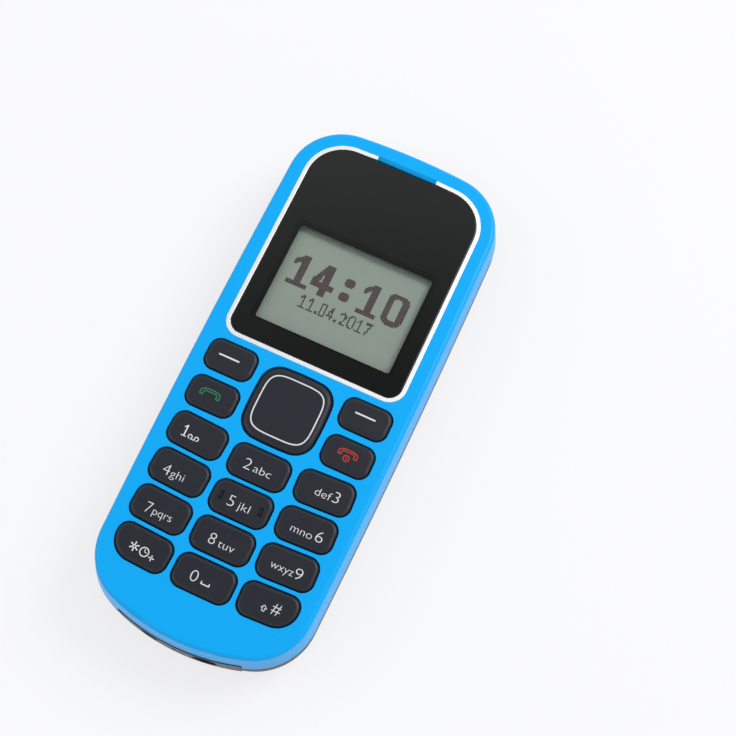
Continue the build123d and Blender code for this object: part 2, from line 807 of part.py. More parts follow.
with BuildPart() as battery_cell:
    with BuildSketch(level(battery_z)):
        with Locations((0, battery_start + cell_length / 2)):
            Rectangle(battery_width, cell_length)
    extrude(amount=battery_depth)
    fillet(battery_cell.edges().filter_by(Axis.Z).group_by(Axis.Y)[0], battery_corner_radius)
    fillet(battery_cell.faces().sort_by(Axis.Z)[-1].edges().sort_by(Axis.Y)[:-1], battery_edge_radius)
    fillet(battery_cell.faces().sort_by(Axis.Z)[0].edges().sort_by(Axis.Y)[:-1], battery_edge_radius)
write_piece(battery_cell, "battery_cell")

with BuildPart() as battery_cap:
    with BuildSketch(level(battery_z)):
        with Locations((0, battery_end - battery_cap_length / 2)):
            Rectangle(battery_width, battery_cap_length)
    extrude(amount=battery_depth)
    fillet(battery_cap.edges().filter_by(Axis.Z).group_by(Axis.Y)[-1], battery_corner_radius)
    with BuildSketch(level(battery_z + pad_margin)):
        with Locations(*[(x, battery_end) for x in pad_points]):
            Rectangle(pad_width, 2 * pad_depth)
    extrude(amount=battery_depth - 2 * pad_margin, mode=Mode.SUBTRACT)
write_piece(battery_cap, "battery_cap")

# Battery connector: a block on the board with three blades that reach into the bay
connector_width = 8.0
connector_length = 2.6
connector_z = 3.0
blade_width = 1.2
blade_margin = 1.0
connector_start = battery_end + bay_gap
blade_z = connector_z + blade_margin
blade_top_z = battery_z + battery_depth - blade_margin

with BuildPart() as battery_connector:
    with BuildSketch(level(connector_z)):
        with Locations((pad_x, connector_start + connector_length / 2)):
            Rectangle(connector_width, connector_length)
    extrude(amount=board_z - seat_gap - connector_z)
    with BuildSketch(level(blade_z)):
        with Locations(*[(x, connector_start) for x in pad_points]):
            Rectangle(blade_width, 2 * (bay_gap - seat_gap))
    extrude(amount=blade_top_z - blade_z)
write_piece(battery_connector, "battery_connector")

# SIM card, the bridge that holds it under the battery and its contact block on the board
sim_width = 15.0
sim_length = 25.0
sim_thickness = 0.76
sim_chamfer = 3.0
sim_float = 0.08  # from the card up to the floor
sim_start = 0.8  # from the lower end of the battery
holder_reach = 1.0  # of the bridge past each side of the card
holder_length = 12.0
holder_sheet = 0.15
holder_side_gap = 0.25
contact_width = 13.0
contact_length = 12.0
sim_top_z = floor_z - sim_float
sim_z = sim_top_z - sim_thickness
sim_y = battery_start + sim_start + sim_length / 2
contact_y = sim_y - sim_length / 2 + sim_start + contact_length / 2 + holder_reach
holder_z = sim_z - sim_float - holder_sheet

with BuildPart() as sim_card:
    with BuildSketch(level(sim_z)):
        with Locations((0, sim_y)):
            Rectangle(sim_width, sim_length)
    extrude(amount=sim_thickness)
    chamfer(sim_card.edges().filter_by(Axis.Z).sort_by_distance((half_width, -half_length, sim_z))[0], sim_chamfer)
write_piece(sim_card, "sim_card")

with BuildPart() as sim_contacts:
    with BuildSketch(level(sim_top_z + film_gap)):
        with Locations((0, contact_y)):
            Rectangle(contact_width, contact_length)
    extrude(amount=board_z - seat_gap - sim_top_z - film_gap)
write_piece(sim_contacts, "sim_contacts")

bridge_half = sim_width / 2 + holder_side_gap + holder_sheet
with BuildPart() as sim_holder:
    with BuildSketch(level(holder_z)):
        with Locations((0, contact_y)):
            Rectangle(2 * bridge_half, holder_length)
    extrude(amount=holder_sheet)
    with BuildSketch(level(holder_z)):
        with Locations((-bridge_half + holder_sheet / 2, contact_y), (bridge_half - holder_sheet / 2, contact_y)):
            Rectangle(holder_sheet, holder_length)
    extrude(amount=floor_z - film_gap - holder_z)
write_piece(sim_holder, "sim_holder")

# Shield cans on the underside of the board, and the chips in them
can_wall = 0.15
can_side_margin = 6.55  # from the side of the body
can_split_x = 2.0
can_gap = 2.0  # between the two
can_start_gap = 9.7  # from the card's contact block
can_end_gap = 2.7  # from the upper end of the battery
chip_depth = 0.6
can_reach = half_width - can_side_margin
can_start = contact_y + contact_length / 2 + can_start_gap
can_end = battery_end - can_end_gap
can_middle = (can_start + can_end) / 2
can_length = can_end - can_start
cans = (  # left and right side of each
    (-can_reach, can_split_x - can_gap / 2),
    (can_split_x + can_gap / 2, can_reach),
)
chip_shares = (  # of its can: the can, the chip's place across and along it, its width and its length
    (0, 0.32, 0.69, 0.47, 0.31),
    (0, 0.75, 0.75, 0.26, 0.23),
    (0, 0.50, 0.25, 0.59, 0.31),
    (1, 0.29, 0.73, 0.38, 0.19),
    (1, 0.72, 0.77, 0.26, 0.17),
    (1, 0.49, 0.33, 0.54, 0.27),
)

with BuildPart() as shield_cans:
    for left, right in cans:
        with BuildSketch(level(floor_top_z + seat_gap)):
            with Locations(((left + right) / 2, can_middle)):
                Rectangle(right - left, can_length)
        extrude(amount=board_z - floor_top_z - 2 * seat_gap)
        with BuildSketch(level(floor_top_z + seat_gap + can_wall)):
            with Locations(((left + right) / 2, can_middle)):
                Rectangle(right - left - 2 * can_wall, can_length - 2 * can_wall)
        extrude(amount=board_z - floor_top_z, mode=Mode.SUBTRACT)
write_piece(shield_cans, "shield_cans")

with BuildPart() as board_chips:
    for can, x_share, y_share, width_share, length_share in chip_shares:
        left, right = cans[can]
        with BuildSketch(level(board_z - film_gap - chip_depth)):
            with Locations((left + x_share * (right - left), can_start + y_share * can_length)):
                Rectangle(width_share * (right - left), length_share * can_length)
        extrude(amount=chip_depth)
write_piece(board_chips, "board_chips")

# Loudspeaker behind the rear cover, its foam ring and the mesh over the sound slots
speaker_x = -5.0
speaker_end = 22.2  # from the top end of the covers to its axis
speaker_radius = 7.5
speaker_depth = 3.6
speaker_gap = 0.3
speaker_face_step = 0.5
speaker_face_radius = 6.0
cup_wall = 0.9
cup_z = 2.6
foam_radius = 7.4
foam_wall = 1.6
foam_gap = 0.25
mesh_width = 8.0
mesh_length = 10.6
speaker_y = half_length - speaker_end
speaker_top_z = floor_z - seat_gap
speaker_z = speaker_top_z - speaker_depth
back_mesh_z = rear_back_wall + film_gap
foam_z = back_mesh_z + mesh_thickness + foam_gap

with BuildPart() as loudspeaker:
    with BuildSketch(level(speaker_z)):
        with Locations((speaker_x, speaker_y)):
            Circle(speaker_radius)
    extrude(amount=speaker_depth)
    with BuildSketch(level(speaker_z)):
        with Locations((speaker_x, speaker_y)):
            Circle(speaker_face_radius - foam_wall / 2)
    extrude(amount=speaker_face_step, mode=Mode.SUBTRACT)
write_piece(loudspeaker, "loudspeaker")

with BuildPart() as loudspeaker_foam:
    with BuildSketch(level(foam_z)):
        with Locations((speaker_x, speaker_y)):
            Circle(foam_radius)
            Circle(foam_radius - foam_wall, mode=Mode.SUBTRACT)
    extrude(amount=speaker_z - film_gap - foam_z)
write_piece(loudspeaker_foam, "loudspeaker_foam")

with BuildPart() as loudspeaker_mesh:
    with BuildSketch(level(back_mesh_z)):
        with Locations((speaker_x, speaker_y)):
            RectangleRounded(mesh_width, mesh_length, window_radius)
    extrude(amount=mesh_thickness)
write_piece(loudspeaker_mesh, "loudspeaker_mesh")

# Vibration motor: a can in a rubber boot, with an off-centre weight on its shaft
motor_x = 11.5
motor_drop = 2.7  # from the floor to its axis
motor_radius = 2.0
motor_length = 8.0
motor_end = 16.6  # from the top end of the covers to its back
motor_boot_wall = 0.55
motor_boot_length = 4.0
shaft_radius = 0.4
shaft_fit = 0.05
shaft_depth = 1.4
weight_radius = 2.2
weight_length = 3.2
weight_gap = 0.6
cradle_gap = 0.1
cradle_wall = 0.7
cradle_drop = 1.0
motor_z = floor_z - motor_drop
motor_back = half_length - motor_end
motor_front = motor_back - motor_length
weight_back = motor_front - weight_gap
boot_radius = motor_radius + seat_gap + motor_boot_wall
boot_front = motor_front + (motor_length - motor_boot_length) / 2

with BuildPart() as vibra_motor:
    with BuildSketch(across(motor_back)):
        with Locations((motor_x, motor_z)):
            Circle(motor_radius)
    extrude(amount=motor_length)
    with BuildSketch(across(motor_front + shaft_depth)):
        with Locations((motor_x, motor_z)):
            Circle(shaft_radius + shaft_fit)
    extrude(amount=shaft_depth + cut_over, mode=Mode.SUBTRACT)
write_piece(vibra_motor, "vibra_motor")

with BuildPart() as vibra_weight:
    with BuildSketch(across(weight_back)):
        with Locations((motor_x, motor_z)):
            Circle(weight_radius)
        with Locations((motor_x, motor_z + shaft_radius + sink + weight_radius)):
            Rectangle(2 * weight_radius, 2 * weight_radius, mode=Mode.SUBTRACT)
    extrude(amount=weight_length)
    with BuildSketch(across(motor_front + shaft_depth - shaft_fit)):
        with Locations((motor_x, motor_z)):
            Circle(shaft_radius)
    extrude(amount=shaft_depth - shaft_fit + weight_gap + weight_length)
write_piece(vibra_weight, "vibra_weight")

with BuildPart() as vibra_boot:
    with BuildSketch(across(boot_front + motor_boot_length)):
        with Locations((motor_x, motor_z)):
            Circle(boot_radius)
            Circle(motor_radius + seat_gap, mode=Mode.SUBTRACT)
    extrude(amount=motor_boot_length)
write_piece(vibra_boot, "vibra_boot")

# Headset jack, charger jack and microphone behind the port panel
headset_under_axis = 2.5
headset_length = 15.2
headset_bore_depth = 14.0
headset_nose_radius = 2.3
charger_width = 4.6
charger_under_axis = 2.1
charger_length = 12.0
charger_bore_depth = 9.0
charger_nose_radius = 1.8
charger_pin_radius = 0.25
charger_pin_back = 1.5  # from the mouth to the tip of the pin
nose_recess = 0.3
nose_gap = 0.1
wall_gap = 0.15  # from the port panel to the blocks behind it
microphone_radius = 1.5
microphone_length = 1.3
microphone_under_parting = 1.5
microphone_hole_radius = 0.5
mic_boot_width = 3.8
mic_boot_length = 2.4
mic_boot_z = 5.3
port_line = port_wall + wall_gap - half_length  # of the blocks at the middle of the panel
bottom_radius = (bottom_reach**2 + bottom_rise**2) / (2 * bottom_rise)
headset_bend = bottom_radius - math.sqrt(bottom_radius**2 - (headset_x + headset_width / 2) ** 2)
charger_bend = bottom_radius - math.sqrt(bottom_radius**2 - (abs(charger_x) + charger_width / 2) ** 2)
headset_mouth = nose_recess - half_length + headset_bend
charger_mouth = nose_recess - half_length + charger_bend
headset_front = port_line + headset_bend
charger_front = port_line + charger_bend
headset_back = headset_mouth + headset_length
charger_back = charger_mouth + charger_length
block_top_z = board_z - seat_gap
microphone_z = parting_z - microphone_under_parting

with BuildPart() as headset_jack:
    with BuildSketch(across(headset_back)):
        with Locations((headset_x, (block_top_z + jack_axis_z - headset_under_axis) / 2)):
            Rectangle(headset_width, block_top_z - jack_axis_z + headset_under_axis)
    extrude(amount=headset_back - headset_front)
    with BuildSketch(across(headset_front + sink)):
        with Locations((headset_x, jack_axis_z)):
            Circle(headset_nose_radius)
    extrude(amount=headset_front + sink - headset_mouth)
    with BuildSketch(across(headset_mouth + headset_bore_depth)):
        with Locations((headset_x, jack_axis_z)):
            Circle(headset_bore)
    extrude(amount=headset_bore_depth + cut_over, mode=Mode.SUBTRACT)
write_piece(headset_jack, "headset_jack")

with BuildPart() as charger_jack:
    with BuildSketch(across(charger_back)):
        with Locations((charger_x, (block_top_z + jack_axis_z - charger_under_axis) / 2)):
            Rectangle(charger_width, block_top_z - jack_axis_z + charger_under_axis)
    extrude(amount=charger_back - charger_front)
    with BuildSketch(across(charger_front + sink)):
        with Locations((charger_x, jack_axis_z)):
            Circle(charger_nose_radius)
    extrude(amount=charger_front + sink - charger_mouth)
    with BuildSketch(across(charger_mouth + charger_bore_depth)):
        with Locations((charger_x, jack_axis_z)):
            Circle(charger_bore)
    extrude(amount=charger_bore_depth + cut_over, mode=Mode.SUBTRACT)
    with BuildSketch(across(charger_mouth + charger_bore_depth + sink)):
        with Locations((charger_x, jack_axis_z)):
            Circle(charger_pin_radius)
    extrude(amount=charger_bore_depth + sink - charger_pin_back)
write_piece(charger_jack, "charger_jack")

with BuildPart() as microphone_boot:
    with BuildSketch(across(port_line + mic_boot_length)):
        with Locations((microphone_x, (block_top_z + mic_boot_z) / 2)):
            Rectangle(mic_boot_width, block_top_z - mic_boot_z)
    extrude(amount=mic_boot_length)
    with BuildSketch(across(port_line + mic_boot_length)):
        with Locations((microphone_x, microphone_z)):
            Circle(microphone_radius + film_gap)
    extrude(amount=microphone_length + film_gap, mode=Mode.SUBTRACT)
    with BuildSketch(across(port_line + mic_boot_length)):
        with Locations((microphone_x, microphone_z)):
            Circle(microphone_hole_radius)
    extrude(amount=mic_boot_length + cut_over, mode=Mode.SUBTRACT)
write_piece(microphone_boot, "microphone_boot")

with BuildPart() as microphone:
    with BuildSketch(across(port_line + mic_boot_length)):
        with Locations((microphone_x, microphone_z)):
            Circle(microphone_radius)
    extrude(amount=microphone_length)
write_piece(microphone, "microphone")

# Torch: the lamp on the board, and the light guide through the cap
led_width = 2.6
led_length = 1.8
led_depth = 1.7
led_gap = 0.3
flange_radius = 2.1
flange_depth = 0.7
flange_gap = 0.1
torch_recess = 0.2
bulkhead_face = cap_inner - seam - bulkhead_wall
lens_back = bulkhead_face + seam
led_front = bulkhead_face - led_gap - board_end_gap

with BuildPart() as torch_led:
    with BuildSketch(level(block_top_z - led_depth)):
        with Locations((0, led_front - led_length / 2)):
            Rectangle(led_width, led_length)
    extrude(amount=led_depth)
write_piece(torch_led, "torch_led")

with BuildPart() as torch_lens:
    with BuildSketch(across(cap_tip - torch_recess)):
        with Locations((0, torch_z)):
            Circle(torch_radius)
    extrude(amount=cap_tip - torch_recess - lens_back)
    with BuildSketch(across(lens_back + flange_depth)):
        with Locations((0, torch_z)):
            Circle(flange_radius)
    extrude(amount=flange_depth)
write_piece(torch_lens, "torch_lens")

# Torch cap, held by two hooked arms behind the bulkhead
bulkhead_side = 2.6  # from the cap's side to the end of the bulkhead
clip_side = 2.8  # from the end of the bulkhead to the middle of an arm
clip_width = 3.0
clip_depth = 0.8
clip_z = 6.7
clip_gap = 0.1
barb_reach = 0.7
barb_drop = 0.45
cap_side = cap_half_width
bulkhead_half = cap_half_width - bulkhead_side
clip_x = bulkhead_half - clip_side
clip_points = (-clip_x, clip_x)

with BuildPart() as top_cap:
    with BuildSketch(level(cap_z)):
        with BuildLine():
            ThreePointArc((-cap_side, cap_tip - cap_rise), (0, cap_tip), (cap_side, cap_tip - cap_rise))
            Polyline(
                (cap_side, cap_tip - cap_rise),
                (cap_side, cap_inner),
                (-cap_side, cap_inner),
                (-cap_side, cap_tip - cap_rise),
            )
        make_face()
    extrude(amount=cap_top_z - cap_z)
    fillet(top_cap.edges().filter_by(Axis.Z).group_by(Axis.Y)[-1], cap_corner_radius - cap_edge_radius)
    fillet(top_cap.faces().sort_by(Axis.Z)[-1].edges().sort_by(Axis.Y)[1:], cap_edge_radius)
    fillet(top_cap.faces().sort_by(Axis.Z)[0].edges().sort_by(Axis.Y)[1:], cap_edge_radius)
    with BuildSketch(level(clip_z)):
        with Locations(*[(x, cap_inner - bulkhead_wall / 2) for x in clip_points]):
            Rectangle(clip_width, bulkhead_wall + 2 * (barb_reach + seam + clip_gap))
    extrude(amount=clip_depth)
    with BuildSketch(level(clip_z - barb_drop)):
        with Locations(*[(x, bulkhead_face - clip_gap - barb_reach / 2) for x in clip_points]):
            Rectangle(clip_width, barb_reach)
    extrude(amount=barb_drop + sink)
    with BuildSketch(across(cap_tip + cut_over)):
        with Locations((0, torch_z)):
            Circle(torch_radius + seat_gap)
    extrude(amount=cap_depth + 2 * cut_over, mode=Mode.SUBTRACT)
write_piece(top_cap, "top_cap")

# Antenna: a cut sheet under the chassis floor, with two feet through the floor to the board
antenna_side_margin = 9.55
antenna_start = 6.6  # from the top end of the covers to its upper edge
antenna_length = 5.0
antenna_sheet = 0.15
antenna_slot = 0.8
antenna_web = 1.6
foot_insets = (2.0, 5.0)  # from the left side of the sheet
foot_width = 1.0
foot_gap = 0.4
antenna_half = half_width - antenna_side_margin
antenna_end = half_length - antenna_start
foot_x = [inset - antenna_half for inset in foot_insets]
antenna_z = floor_z - film_gap - antenna_sheet
foot_y = antenna_end - antenna_sheet / 2 - antenna_web / 2

with BuildPart() as antenna:
    with BuildSketch(level(antenna_z)):
        with Locations((0, antenna_end - antenna_length / 2)):
            Rectangle(2 * antenna_half, antenna_length)
        with Locations((antenna_web, antenna_end - antenna_web)):
            Rectangle(2 * antenna_half, antenna_slot, mode=Mode.SUBTRACT)
        with Locations((-antenna_web, antenna_end - antenna_length + antenna_web)):
            Rectangle(2 * antenna_half, antenna_slot, mode=Mode.SUBTRACT)
    extrude(amount=antenna_sheet)
    with BuildSketch(level(antenna_z)):
        with Locations(*[(x, foot_y) for x in foot_x]):
            Rectangle(foot_width, antenna_sheet)
    extrude(amount=block_top_z - antenna_z)
write_piece(antenna, "antenna")

# Screws, with a hexagonal socket in each head
head_top_z = floor_z - seat_gap
screw_end_z = board_top_z + screw_reach
with BuildPart() as chassis_screws:
    with BuildSketch(level(head_top_z - screw_head_depth)):
        with Locations(*screws):
            Circle(screw_head_radius)
            RegularPolygon(screw_drive_radius, 6, mode=Mode.SUBTRACT)
    extrude(amount=screw_drive_depth)
    with BuildSketch(level(head_top_z - screw_head_depth + screw_drive_depth)):
        with Locations(*screws):
            Circle(screw_head_radius)
    extrude(amount=screw_head_depth - screw_drive_depth)
    with BuildSketch(level(head_top_z)):
        with Locations(*screws):
            Circle(screw_radius)
    extrude(amount=screw_end_z - head_top_z)
write_piece(chassis_screws, "chassis_screws")

# Rear chassis: the band between the covers, the floor under the board, the battery bay and the port panel
band_ring = 2.6
floor_inset = 1.0
tongue_gap = 0.2
tongue_wall = 0.7
chassis_boss_radius = 2.2
bulkhead_z = 4.5
finger_half = 6.0  # of the notch that a finger lifts the battery by
finger_z = 5.0
tab_wall = 0.7
tab_bite = 0.1
tab_gap = 0.15
tab_length = 4.0
tab_root_z = 4.2
tab_rise = 1.2
tab_points = (-30.0, 0, 30.0)
eyelet_width = 3.5
eyelet_height = 1.1
eyelet_depth = 3.0
eyelet_bar_radius = 0.45
eyelet_bar_inset = 1.3
eyelet_boss_radius = 3.2
eyelet_boss_inset = 2.5
cutout_gap = 0.15
band_inner = body_section(band_ring)
floor_outline = body_section(floor_inset)
tongue_outline = body_section(front_wall + tongue_gap)
tongue_inner = body_section(front_wall + tongue_gap + tongue_wall)
port_inner = body_section(port_wall)
tab_inset = rear_side_wall - tab_bite
tab_outline = body_section(tab_inset)
tab_inner = body_section(tab_inset + tab_wall)
pocket_outline = body_section(tab_inset - tab_gap)
pocket_inner = body_section(tab_inset + tab_wall + tab_gap)
tab_top_z = band_z + tab_rise
corner_arc = body_outline.edges().sort_by_distance((-half_width, -half_length))[0]
corner_point = corner_arc @ 0.5
corner_out = (corner_point - corner_arc.arc_center).normalized()
corner_turn = math.degrees(math.atan2(corner_out.Y, corner_out.X))
eyelet_place = Location((corner_point.X, corner_point.Y, 0), (0, 0, corner_turn))
bar_point = corner_point - corner_out * eyelet_bar_inset
eyelet_boss_point = corner_point - corner_out * eyelet_boss_inset
eyelet_z = (band_z + parting_z - eyelet_height) / 2
bay_points = (0, battery_y)
jack_cutouts = (  # x, y, width and length of each
    (headset_x, (headset_front + headset_back) / 2, headset_width, headset_back - headset_front),
    (charger_x, (charger_front + charger_back) / 2, charger_width, charger_back - charger_front),
    (microphone_x, port_line + mic_boot_length / 2, mic_boot_width, mic_boot_length),
)
floor_cutouts = (
    (0, contact_y, contact_width, contact_length),
    (pad_x, connector_start + connector_length / 2, connector_width, connector_length),
    (0, led_front - led_length / 2, led_width, led_length),
    (foot_x[0], foot_y, foot_width, foot_gap),
    (foot_x[1], foot_y, foot_width, foot_gap),
)

with BuildPart() as rear_chassis:
    with BuildSketch(level(band_z + seam)):
        add(body_outline)
        add(band_inner, mode=Mode.SUBTRACT)
    extrude(amount=band_depth - 2 * seam)
    with BuildSketch(level(floor_z)):
        add(floor_outline)
    extrude(amount=floor_depth)
    with BuildSketch(level(floor_top_z - sink)):
        add(tongue_outline)
        add(tongue_inner, mode=Mode.SUBTRACT)
    extrude(amount=block_top_z - floor_top_z + sink)
    # Room for the torch cap, and the bulkhead behind it
    with BuildSketch(level(band_z)):
        with Locations((0, half_length)):
            Rectangle(2 * (cap_half_width + seam), 2 * (half_length - cap_inner + seam))
    extrude(amount=cap_top_z - band_z, mode=Mode.SUBTRACT)
    with BuildSketch(level(bulkhead_z)):
        with Locations((0, bulkhead_face + bulkhead_wall / 2)):
            Rectangle(2 * bulkhead_half, bulkhead_wall)
    extrude(amount=block_top_z - bulkhead_z)
    with BuildSketch(across(cap_tip)):
        with Locations((0, torch_z)):
            Circle(flange_radius + flange_gap)
        with Locations(*[(x, clip_z + clip_depth / 2) for x in clip_points]):
            Rectangle(clip_width + 2 * clip_gap, clip_depth + 2 * clip_gap)
    extrude(amount=cap_depth + seam + bulkhead_wall + board_end_gap, mode=Mode.SUBTRACT)
    # Battery bay, with a notch for a finger
    with BuildSketch(level(bay_wall_z)):
        with Locations(bay_points):
            Rectangle(battery_width + 2 * (bay_gap + bay_wall), battery_length + 2 * (bay_gap + bay_wall))
            Rectangle(battery_width + 2 * bay_gap, battery_length + 2 * bay_gap, mode=Mode.SUBTRACT)
    extrude(amount=floor_z + sink - bay_wall_z)
    with BuildSketch(level(bay_wall_z - cut_over)):
        with Locations((0, battery_start)):
            Rectangle(2 * finger_half, 2 * (bay_gap + bay_wall + sink))
    extrude(amount=finger_z - bay_wall_z + cut_over, mode=Mode.SUBTRACT)
    # Loudspeaker cup and motor cradle
    with BuildSketch(level(cup_z)):
        with Locations((speaker_x, speaker_y)):
            Circle(speaker_radius + speaker_gap + cup_wall)
            Circle(speaker_radius + speaker_gap, mode=Mode.SUBTRACT)
    extrude(amount=floor_z + sink - cup_z)
    cradle_reach = boot_radius + cradle_gap + cradle_wall / 2
    with BuildSketch(level(motor_z - cradle_drop)):
        with Locations(*[(motor_x + side * cradle_reach, boot_front + motor_boot_length / 2) for side in (-1, 1)]):
            Rectangle(cradle_wall, motor_boot_length)
    extrude(amount=floor_z + sink - motor_z + cradle_drop)
    # Port panel
    with BuildSketch(level(port_z)):
        add(body_outline)
        add(port_inner, mode=Mode.SUBTRACT)
        with Locations((0, -half_length)):
            Rectangle(2 * port_half_width, 2 * bottom_rise, mode=Mode.INTERSECT)
    extrude(amount=port_top_z - port_z)
    with BuildSketch(across(port_line + mic_boot_length)):
        with Locations((headset_x, jack_axis_z)):
            Circle(headset_nose_radius + nose_gap)
        with Locations((charger_x, jack_axis_z)):
            Circle(charger_nose_radius + nose_gap)
        with Locations((microphone_x, microphone_z)):
            Circle(microphone_hole_radius)
    extrude(amount=mic_boot_length + port_wall + cut_over, mode=Mode.SUBTRACT)
    # Strap eyelet in the lower left corner
    with BuildSketch(level(band_z + seam)):
        with Locations((eyelet_boss_point.X, eyelet_boss_point.Y)):
            Circle(eyelet_boss_radius)
        add(body_outline, mode=Mode.INTERSECT)
    extrude(amount=band_depth - 2 * seam)
    with BuildSketch(level(eyelet_z)):
        with Locations(eyelet_place):
            Rectangle(2 * eyelet_depth, eyelet_width)
    extrude(amount=eyelet_height, mode=Mode.SUBTRACT)
    with BuildSketch(level(eyelet_z - sink)):
        with Locations((bar_point.X, bar_point.Y)):
            Circle(eyelet_bar_radius)
    extrude(amount=eyelet_height + 2 * sink)
    # Screw bosses
    with BuildSketch(level(floor_top_z - sink)):
        with Locations(*screws):
            Circle(chassis_boss_radius)
    extrude(amount=block_top_z - floor_top_z + sink)
    with BuildSketch(level(floor_z - cut_over)):
        with Locations(*screws):
            Circle(screw_radius + screw_hole_gap)
    extrude(amount=block_top_z - floor_z + 2 * cut_over, mode=Mode.SUBTRACT)
    # Pockets for the tabs of the rear cover
    with BuildSketch(level(band_z)):
        add(pocket_outline)
        add(pocket_inner, mode=Mode.SUBTRACT)
        with Locations(*[(0, y) for y in tab_points]):
            Rectangle(body_width, tab_length + 2 * tab_gap, mode=Mode.INTERSECT)
    extrude(amount=tab_top_z + tab_gap - band_z, mode=Mode.SUBTRACT)
    # Cut-outs in the floor for what hangs under the board
    with BuildSketch(level(floor_z - sink)):
        for x, y, width, length in floor_cutouts:
            with Locations((x, y)):
                Rectangle(width + 2 * cutout_gap, length + 2 * cutout_gap)
    extrude(amount=floor_depth + 2 * sink, mode=Mode.SUBTRACT)
    with BuildSketch(level(port_z)):
        for x, y, width, length in jack_cutouts:
            with Locations((x, y)):
                Rectangle(width + 2 * cutout_gap, length + 2 * cutout_gap)
    extrude(amount=block_top_z + sink - port_z, mode=Mode.SUBTRACT)
    with BuildSketch(level(connector_z - cutout_gap)):
        with Locations((pad_x, connector_start + connector_length / 2)):
            Rectangle(connector_width + 2 * cutout_gap, connector_length + 2 * bay_gap)
    extrude(amount=floor_z - connector_z + cutout_gap, mode=Mode.SUBTRACT)
write_piece(rear_chassis, "rear_chassis")

# Rear cover, with three framed sound slots and six tabs that plug into the chassis
slot_length = 6.7
slot_width = 2.5
slot_groove = 0.4
slot_lip = 0.3
slot_groove_depth = 0.35
slot_pitch = 3.6
cavity_radius = rear_edge_radius - rear_side_wall
slot_points = [(speaker_x, speaker_y + step * slot_pitch) for step in (-1, 0, 1)]
rear_cavity_outline = body_section(rear_side_wall)

with BuildPart() as rear_cavity:
    with BuildSketch(level(rear_back_wall)):
        add(rear_cavity_outline)
    extrude(amount=rear_depth)
    fillet(rear_cavity.faces().sort_by(Axis.Z)[0].edges(), cavity_radius)

with BuildPart() as rear_cover:
    with BuildSketch(level(0)):
        add(body_outline)
    extrude(amount=rear_depth)
    fillet(rear_cover.faces().sort_by(Axis.Z)[0].edges(), rear_edge_radius)
    add(rear_cavity.part, mode=Mode.SUBTRACT)
    with BuildSketch(level(0)):
        with Locations(*slot_points):
            SlotOverall(slot_length, slot_width)
            SlotOverall(slot_length - 2 * slot_groove, slot_width - 2 * slot_groove, mode=Mode.SUBTRACT)
    extrude(amount=slot_groove_depth, mode=Mode.SUBTRACT)
    with BuildSketch(level(0)):
        with Locations(*slot_points):
            SlotOverall(
                slot_length - 2 * (slot_groove + slot_lip),
                slot_width - 2 * (slot_groove + slot_lip),
            )
    extrude(amount=rear_back_wall, mode=Mode.SUBTRACT)
    with BuildSketch(level(tab_root_z)):
        add(tab_outline)
        add(tab_inner, mode=Mode.SUBTRACT)
        with Locations(*[(0, y) for y in tab_points]):
            Rectangle(body_width, tab_length, mode=Mode.INTERSECT)
    extrude(amount=tab_top_z - tab_root_z)
    with BuildSketch(level(cap_z - seam)):
        with Locations((0, half_length)):
            Rectangle(2 * (cap_half_width + seam), 2 * (half_length - cap_inner + seam))
    extrude(amount=rear_depth, mode=Mode.SUBTRACT)
    with BuildSketch(level(port_z - seam)):
        with Locations((0, -half_length)):
            Rectangle(2 * (port_half_width + seam), 2 * bottom_rise)
    extrude(amount=rear_depth, mode=Mode.SUBTRACT)
write_piece(rear_cover, "rear_cover")
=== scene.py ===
"""Finishes, prints and stage of a feature phone, laid over its CAD model."""

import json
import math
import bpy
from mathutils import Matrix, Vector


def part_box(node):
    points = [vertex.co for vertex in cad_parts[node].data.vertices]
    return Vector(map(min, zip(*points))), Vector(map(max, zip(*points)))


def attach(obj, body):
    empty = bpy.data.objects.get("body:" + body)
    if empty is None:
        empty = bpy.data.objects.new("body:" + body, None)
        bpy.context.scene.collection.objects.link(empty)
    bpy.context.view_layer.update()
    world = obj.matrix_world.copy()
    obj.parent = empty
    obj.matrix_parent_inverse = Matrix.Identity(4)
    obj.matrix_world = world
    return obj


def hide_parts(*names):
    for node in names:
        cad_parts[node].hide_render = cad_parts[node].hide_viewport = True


bl_info = {
    "name": "Feature Phone Finishes",
    "version": (1, 0, 0),
    "blender": (4, 5, 0),
    "location": "3D View > Sidebar > Phone",
    "description": "Dresses the feature phone's pieces, prints its keys, fills its display and sets the stage",
    "category": "Object",
}

import bmesh
import bpy
from mathutils import Matrix, Vector

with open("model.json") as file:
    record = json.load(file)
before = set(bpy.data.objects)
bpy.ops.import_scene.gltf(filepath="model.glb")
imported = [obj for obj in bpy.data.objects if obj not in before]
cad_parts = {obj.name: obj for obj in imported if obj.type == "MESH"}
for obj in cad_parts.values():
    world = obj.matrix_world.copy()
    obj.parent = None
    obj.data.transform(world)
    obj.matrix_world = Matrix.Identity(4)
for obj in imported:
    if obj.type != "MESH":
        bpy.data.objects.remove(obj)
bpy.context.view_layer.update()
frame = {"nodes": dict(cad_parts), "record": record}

MM = 0.001
NODES = frame["nodes"]
BODY_OF = {node: body for body, nodes in frame["record"]["behaviour"]["bodies"].items() for node in nodes}


def linear(code):
    """Linear colour of an sRGB hex code."""
    parts = [int(code[i : i + 2], 16) / 255 for i in (0, 2, 4)]
    return tuple(p / 12.92 if p <= 0.04045 else ((p + 0.055) / 1.055) ** 2.4 for p in parts)


def lows(node):
    """Lowest corner of a CAD node, in mm."""
    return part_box(node)[0] / MM


def highs(node):
    """Highest corner of a CAD node, in mm."""
    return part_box(node)[1] / MM


KEY_TOP = highs("key_0").z
PANEL_TOP = highs("lcd_panel").z
# Ink starts this far over the key caps, in mm
INK_LIFT = 0.002
